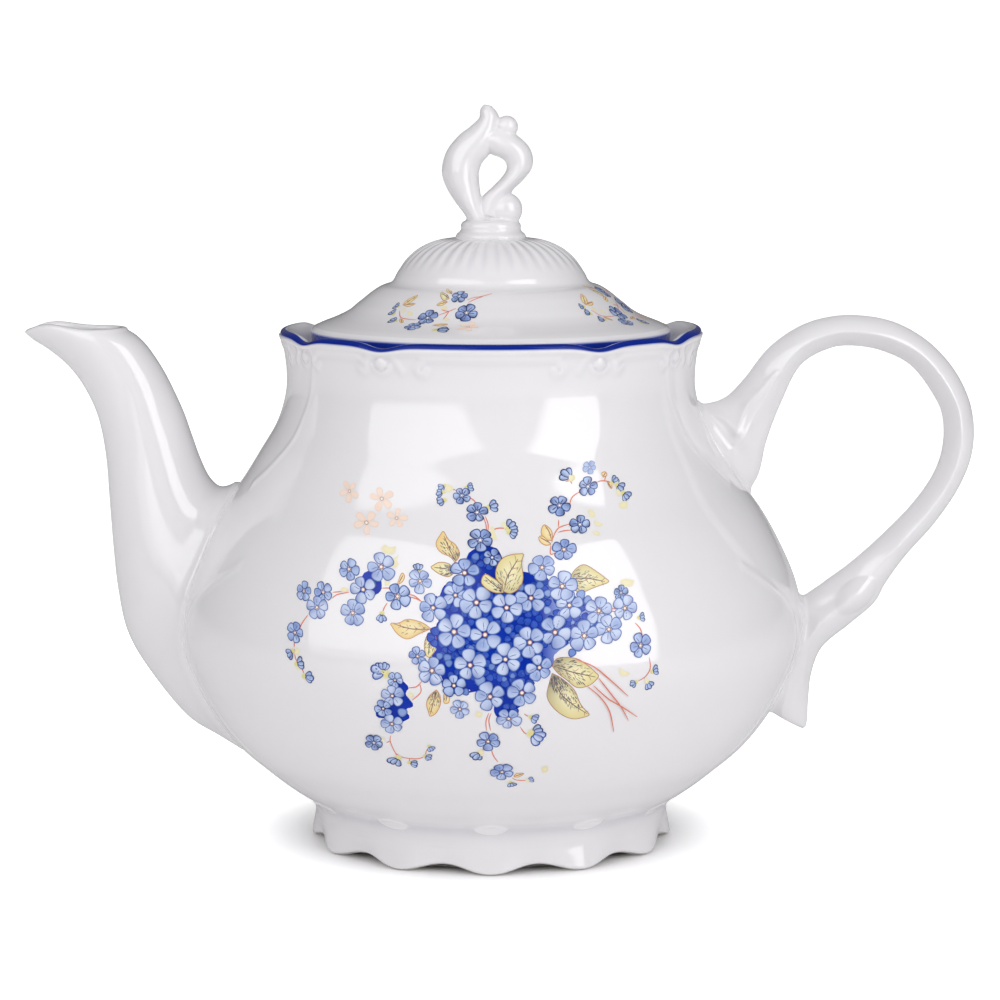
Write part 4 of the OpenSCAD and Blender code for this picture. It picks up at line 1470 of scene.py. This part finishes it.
def fill_patch(sheet, points, dice):
    """Royal blue laid between flowers, deeper in places, with an uneven edge."""
    ring = spaced(curve(points + [points[0]], 6), 0.8)[:-1]
    ring = ring + np.array([[dice.uniform(-0.15, 0.15), dice.uniform(-0.15, 0.15)] for _ in ring])
    low, high = ring.min(0), ring.max(0)
    inner = [Vector((x, y)) for x in np.arange(low[0], high[0], 1.4) for y in np.arange(low[1], high[1], 1.4)]
    verts = [Vector(p) for p in ring] + inner
    count = len(ring)
    edges = [(i, (i + 1) % count) for i in range(count)]
    done = delaunay_2d_cdt(verts, edges, [list(range(count))], 1, 1e-5)
    points = np.array([list(v) for v in done[0]])
    mid, deep, light = (srgb(c) for c in ROYAL)
    x, z = points[:, :1], points[:, 1:]
    wash = 0.5 + 0.5 * np.sin(x * 0.9 + 1.3 * np.sin(z * 0.55)) * np.cos(z * 0.7)
    far = np.clip((x - 12) / 5, 0, 1)
    colours = mid * (1 - 0.55 * wash) + deep * 0.55 * wash
    colours = colours * (1 - 0.85 * far) + light * 0.85 * far
    sheet.add(points, colours, [tuple(f) for f in done[2]])


def inside(outline_points, x, y):
    """Whether a place lies inside a closed outline."""
    p = np.array(outline_points, float)
    q = np.roll(p, -1, axis=0)
    crosses = (p[:, 1] > y) != (q[:, 1] > y)
    rise = np.where(q[:, 1] == p[:, 1], 1, q[:, 1] - p[:, 1])
    at = p[:, 0] + (y - p[:, 1]) * (q[:, 0] - p[:, 0]) / rise
    return int((crosses & (x < at)).sum()) % 2 == 1


def print_bouquet():
    """The transfer on the front of the pot, from the back layer to the front one."""
    dice = random.Random(7)
    patch = Print("print_royal", on_pot, royal_lift)
    for points in patches:
        fill_patch(patch, points, dice)
    patch.make("pot", "flower_print")
    lines = Print("print_stems", on_pot, stem_lift)
    for path in stems:
        lines.stroke(path, 0.3, srgb(STEM))
    for path in loose_stems:
        lines.stroke(path, 0.32, srgb(STEM), 0.3)
    lines.make("pot", "flower_print")
    green = Print("print_leaves", on_pot, stem_lift)
    for order, (points, vein, kind, hatch) in enumerate(leaves + front_leaves):
        order += 90 if order >= len(leaves) else 0
        leaf(green, points, vein, kind, dice, order, hatch)
    green.make("pot", "flower_print")
    blue = Print("print_flowers", on_pot, flower_lift)
    for row in range(9):
        for column in range(10):
            x = -13 + 4.4 * column + 2.2 * (row % 2) + dice.uniform(-0.9, 0.9)
            z = 50 + 4.3 * row + dice.uniform(-0.9, 0.9)
            if inside(patches[0], x, z):
                flower(blue, pot_shape, x, z, dice.uniform(1.9, 2.6), dice.uniform(0, 72), "under", dice, -8)
    for order, (x, z, radius, turn, tone) in enumerate(petals):
        deep, edge = (srgb(c) for c in PETAL[tone][1:])
        shades = [(0, deep), (0.6, deep), (0.85, 0.5 * deep + 0.5 * edge), (1, edge)]
        ring = petal_ring(radius, math.radians(turn), 0.42, 0.45)
        blue.blob(pot_shape(x, z, ring - ring.mean(0)), shades, 0.0005 * order)
    for order, spec in enumerate(buds):
        bud(blue, pot_shape, *spec, dice, order + 1)
    for order, spec in enumerate(ghost_flowers + flowers):
        flower(blue, pot_shape, *spec, dice, order + 8)
    blue.make("pot", "flower_print")


lid_flowers = [
    [-18.7, 8.2, 2.2, 60, "dark"], [-16.5, 12.6, 2.8, 100, "navy"], [-6.4, 14.6, 3, 62, "navy"],
    [-9.8, 20.6, 2.7, 84, "navy"],
]
lid_buds = [
    [-12.4, 6.6, 3, 8, "navy"], [-25, 10.6, 2.2, 160, "navy"], [-27.8, 13.4, 2, 150, "navy"],
    [-28.2, 16, 1.9, 170, "navy"],
]
lid_stems = [
    [[-9.6, 16.3], [-11.3, 15.1], [-13.8, 13.7]], [[-11.3, 15.1], [-11.7, 13.6], [-12.2, 12.2]],
    [[-13.8, 15.7], [-12.4, 15.2], [-11.3, 15.1]],
    [[-19.4, 11.7], [-22, 11.8], [-24.6, 12.4], [-26.6, 14.6]],
    [[-7, 19.2], [-5.2, 20.2], [-2.6, 20.8], [0.6, 22.2]], [[-6.6, 18.2], [-4.6, 19.6], [-2.4, 20.6]],
]
lid_leaves = [
    [[[-12.8, 19.6], [-14, 21.2], [-16.8, 22.6], [-16, 20.6], [-14.2, 18.8]],
     [[-13, 19.8], [-16, 21.8]], "olive", 4],
    [[[-12.6, 21.6], [-13.6, 23.6], [-16.2, 25.4], [-14.8, 22.8]], [[-12.8, 21.8], [-15.6, 24.8]],
     "gold", 3],
    [[[-12.8, 18.4], [-14.4, 18.6], [-16, 17.2], [-14.2, 17]], [[-13, 18.4], [-15.4, 17.4]], "gold", 0],
    [[[-27, 16.6], [-27, 18.4], [-24.4, 20.8], [-24.2, 19], [-25.6, 17]], [[-26.8, 16.8], [-24.6, 20]],
     "gold", 2],
    [[[-26.6, 16.6], [-25.2, 17.2], [-22.8, 17.4], [-24.4, 16.2]], [[-26.2, 16.8], [-23.4, 17.2]],
     "gold", 0],
    [[[-26, 15.6], [-25.6, 14.2], [-24.6, 13.6], [-24.8, 15.2]], [[-25.8, 15.2], [-24.8, 14]], "ghost",
     0],
    [[[-23.6, 14.6], [-22, 14.4], [-21.2, 13.4], [-22.8, 13.2]], [[-23.4, 14.2], [-21.6, 13.6]],
     "ghost", 0],
    [[[-24.4, 11.8], [-23, 11.2], [-22.4, 9.8], [-23.6, 10.4]], [[-24, 11.6], [-22.6, 10]], "gold", 0],
    [[[-14, 9.4], [-12.4, 10.2], [-10.2, 10.2], [-12, 9]], [[-13.6, 9.4], [-10.8, 10]], "gold", 0],
    [[[-12.2, 12.2], [-11.2, 13], [-10.2, 12.2], [-11.2, 11.6]], [[-12, 12.2], [-10.4, 12.2]], "ghost",
     0],
    [[[-14, 15.6], [-13.6, 17], [-12, 16.6], [-12.4, 15.6]], [[-13.8, 15.8], [-12.4, 16.4]], "ghost", 0],
]
lid_ghosts = [[-5.2, 8.8, 2.4, 70, "peach"]]
lid_turns = [0, 88, 180, 268]


def print_sprays():
    """A small spray of the same flowers, four times round the lid's skirt."""
    for number, turn in enumerate(lid_turns, 1):
        dice = random.Random(20 + number)
        spray = Print("lid_spray_" + str(number), on_lid(turn), spray_lift)
        for path in lid_stems:
            spray.stroke(path, 0.3, srgb(STEM))
        for order, (points, vein, kind, hatch) in enumerate(lid_leaves):
            leaf(spray, points, vein, kind, dice, order, hatch)
        for order, spec in enumerate(lid_buds):
            bud(spray, flat_shape, *spec, dice, order + 16)
        for order, spec in enumerate(lid_ghosts + lid_flowers):
            flower(spray, flat_shape, *spec, dice, order + 22)
        spray.make("lid", "flower_print")


print_bouquet()
print_sprays()
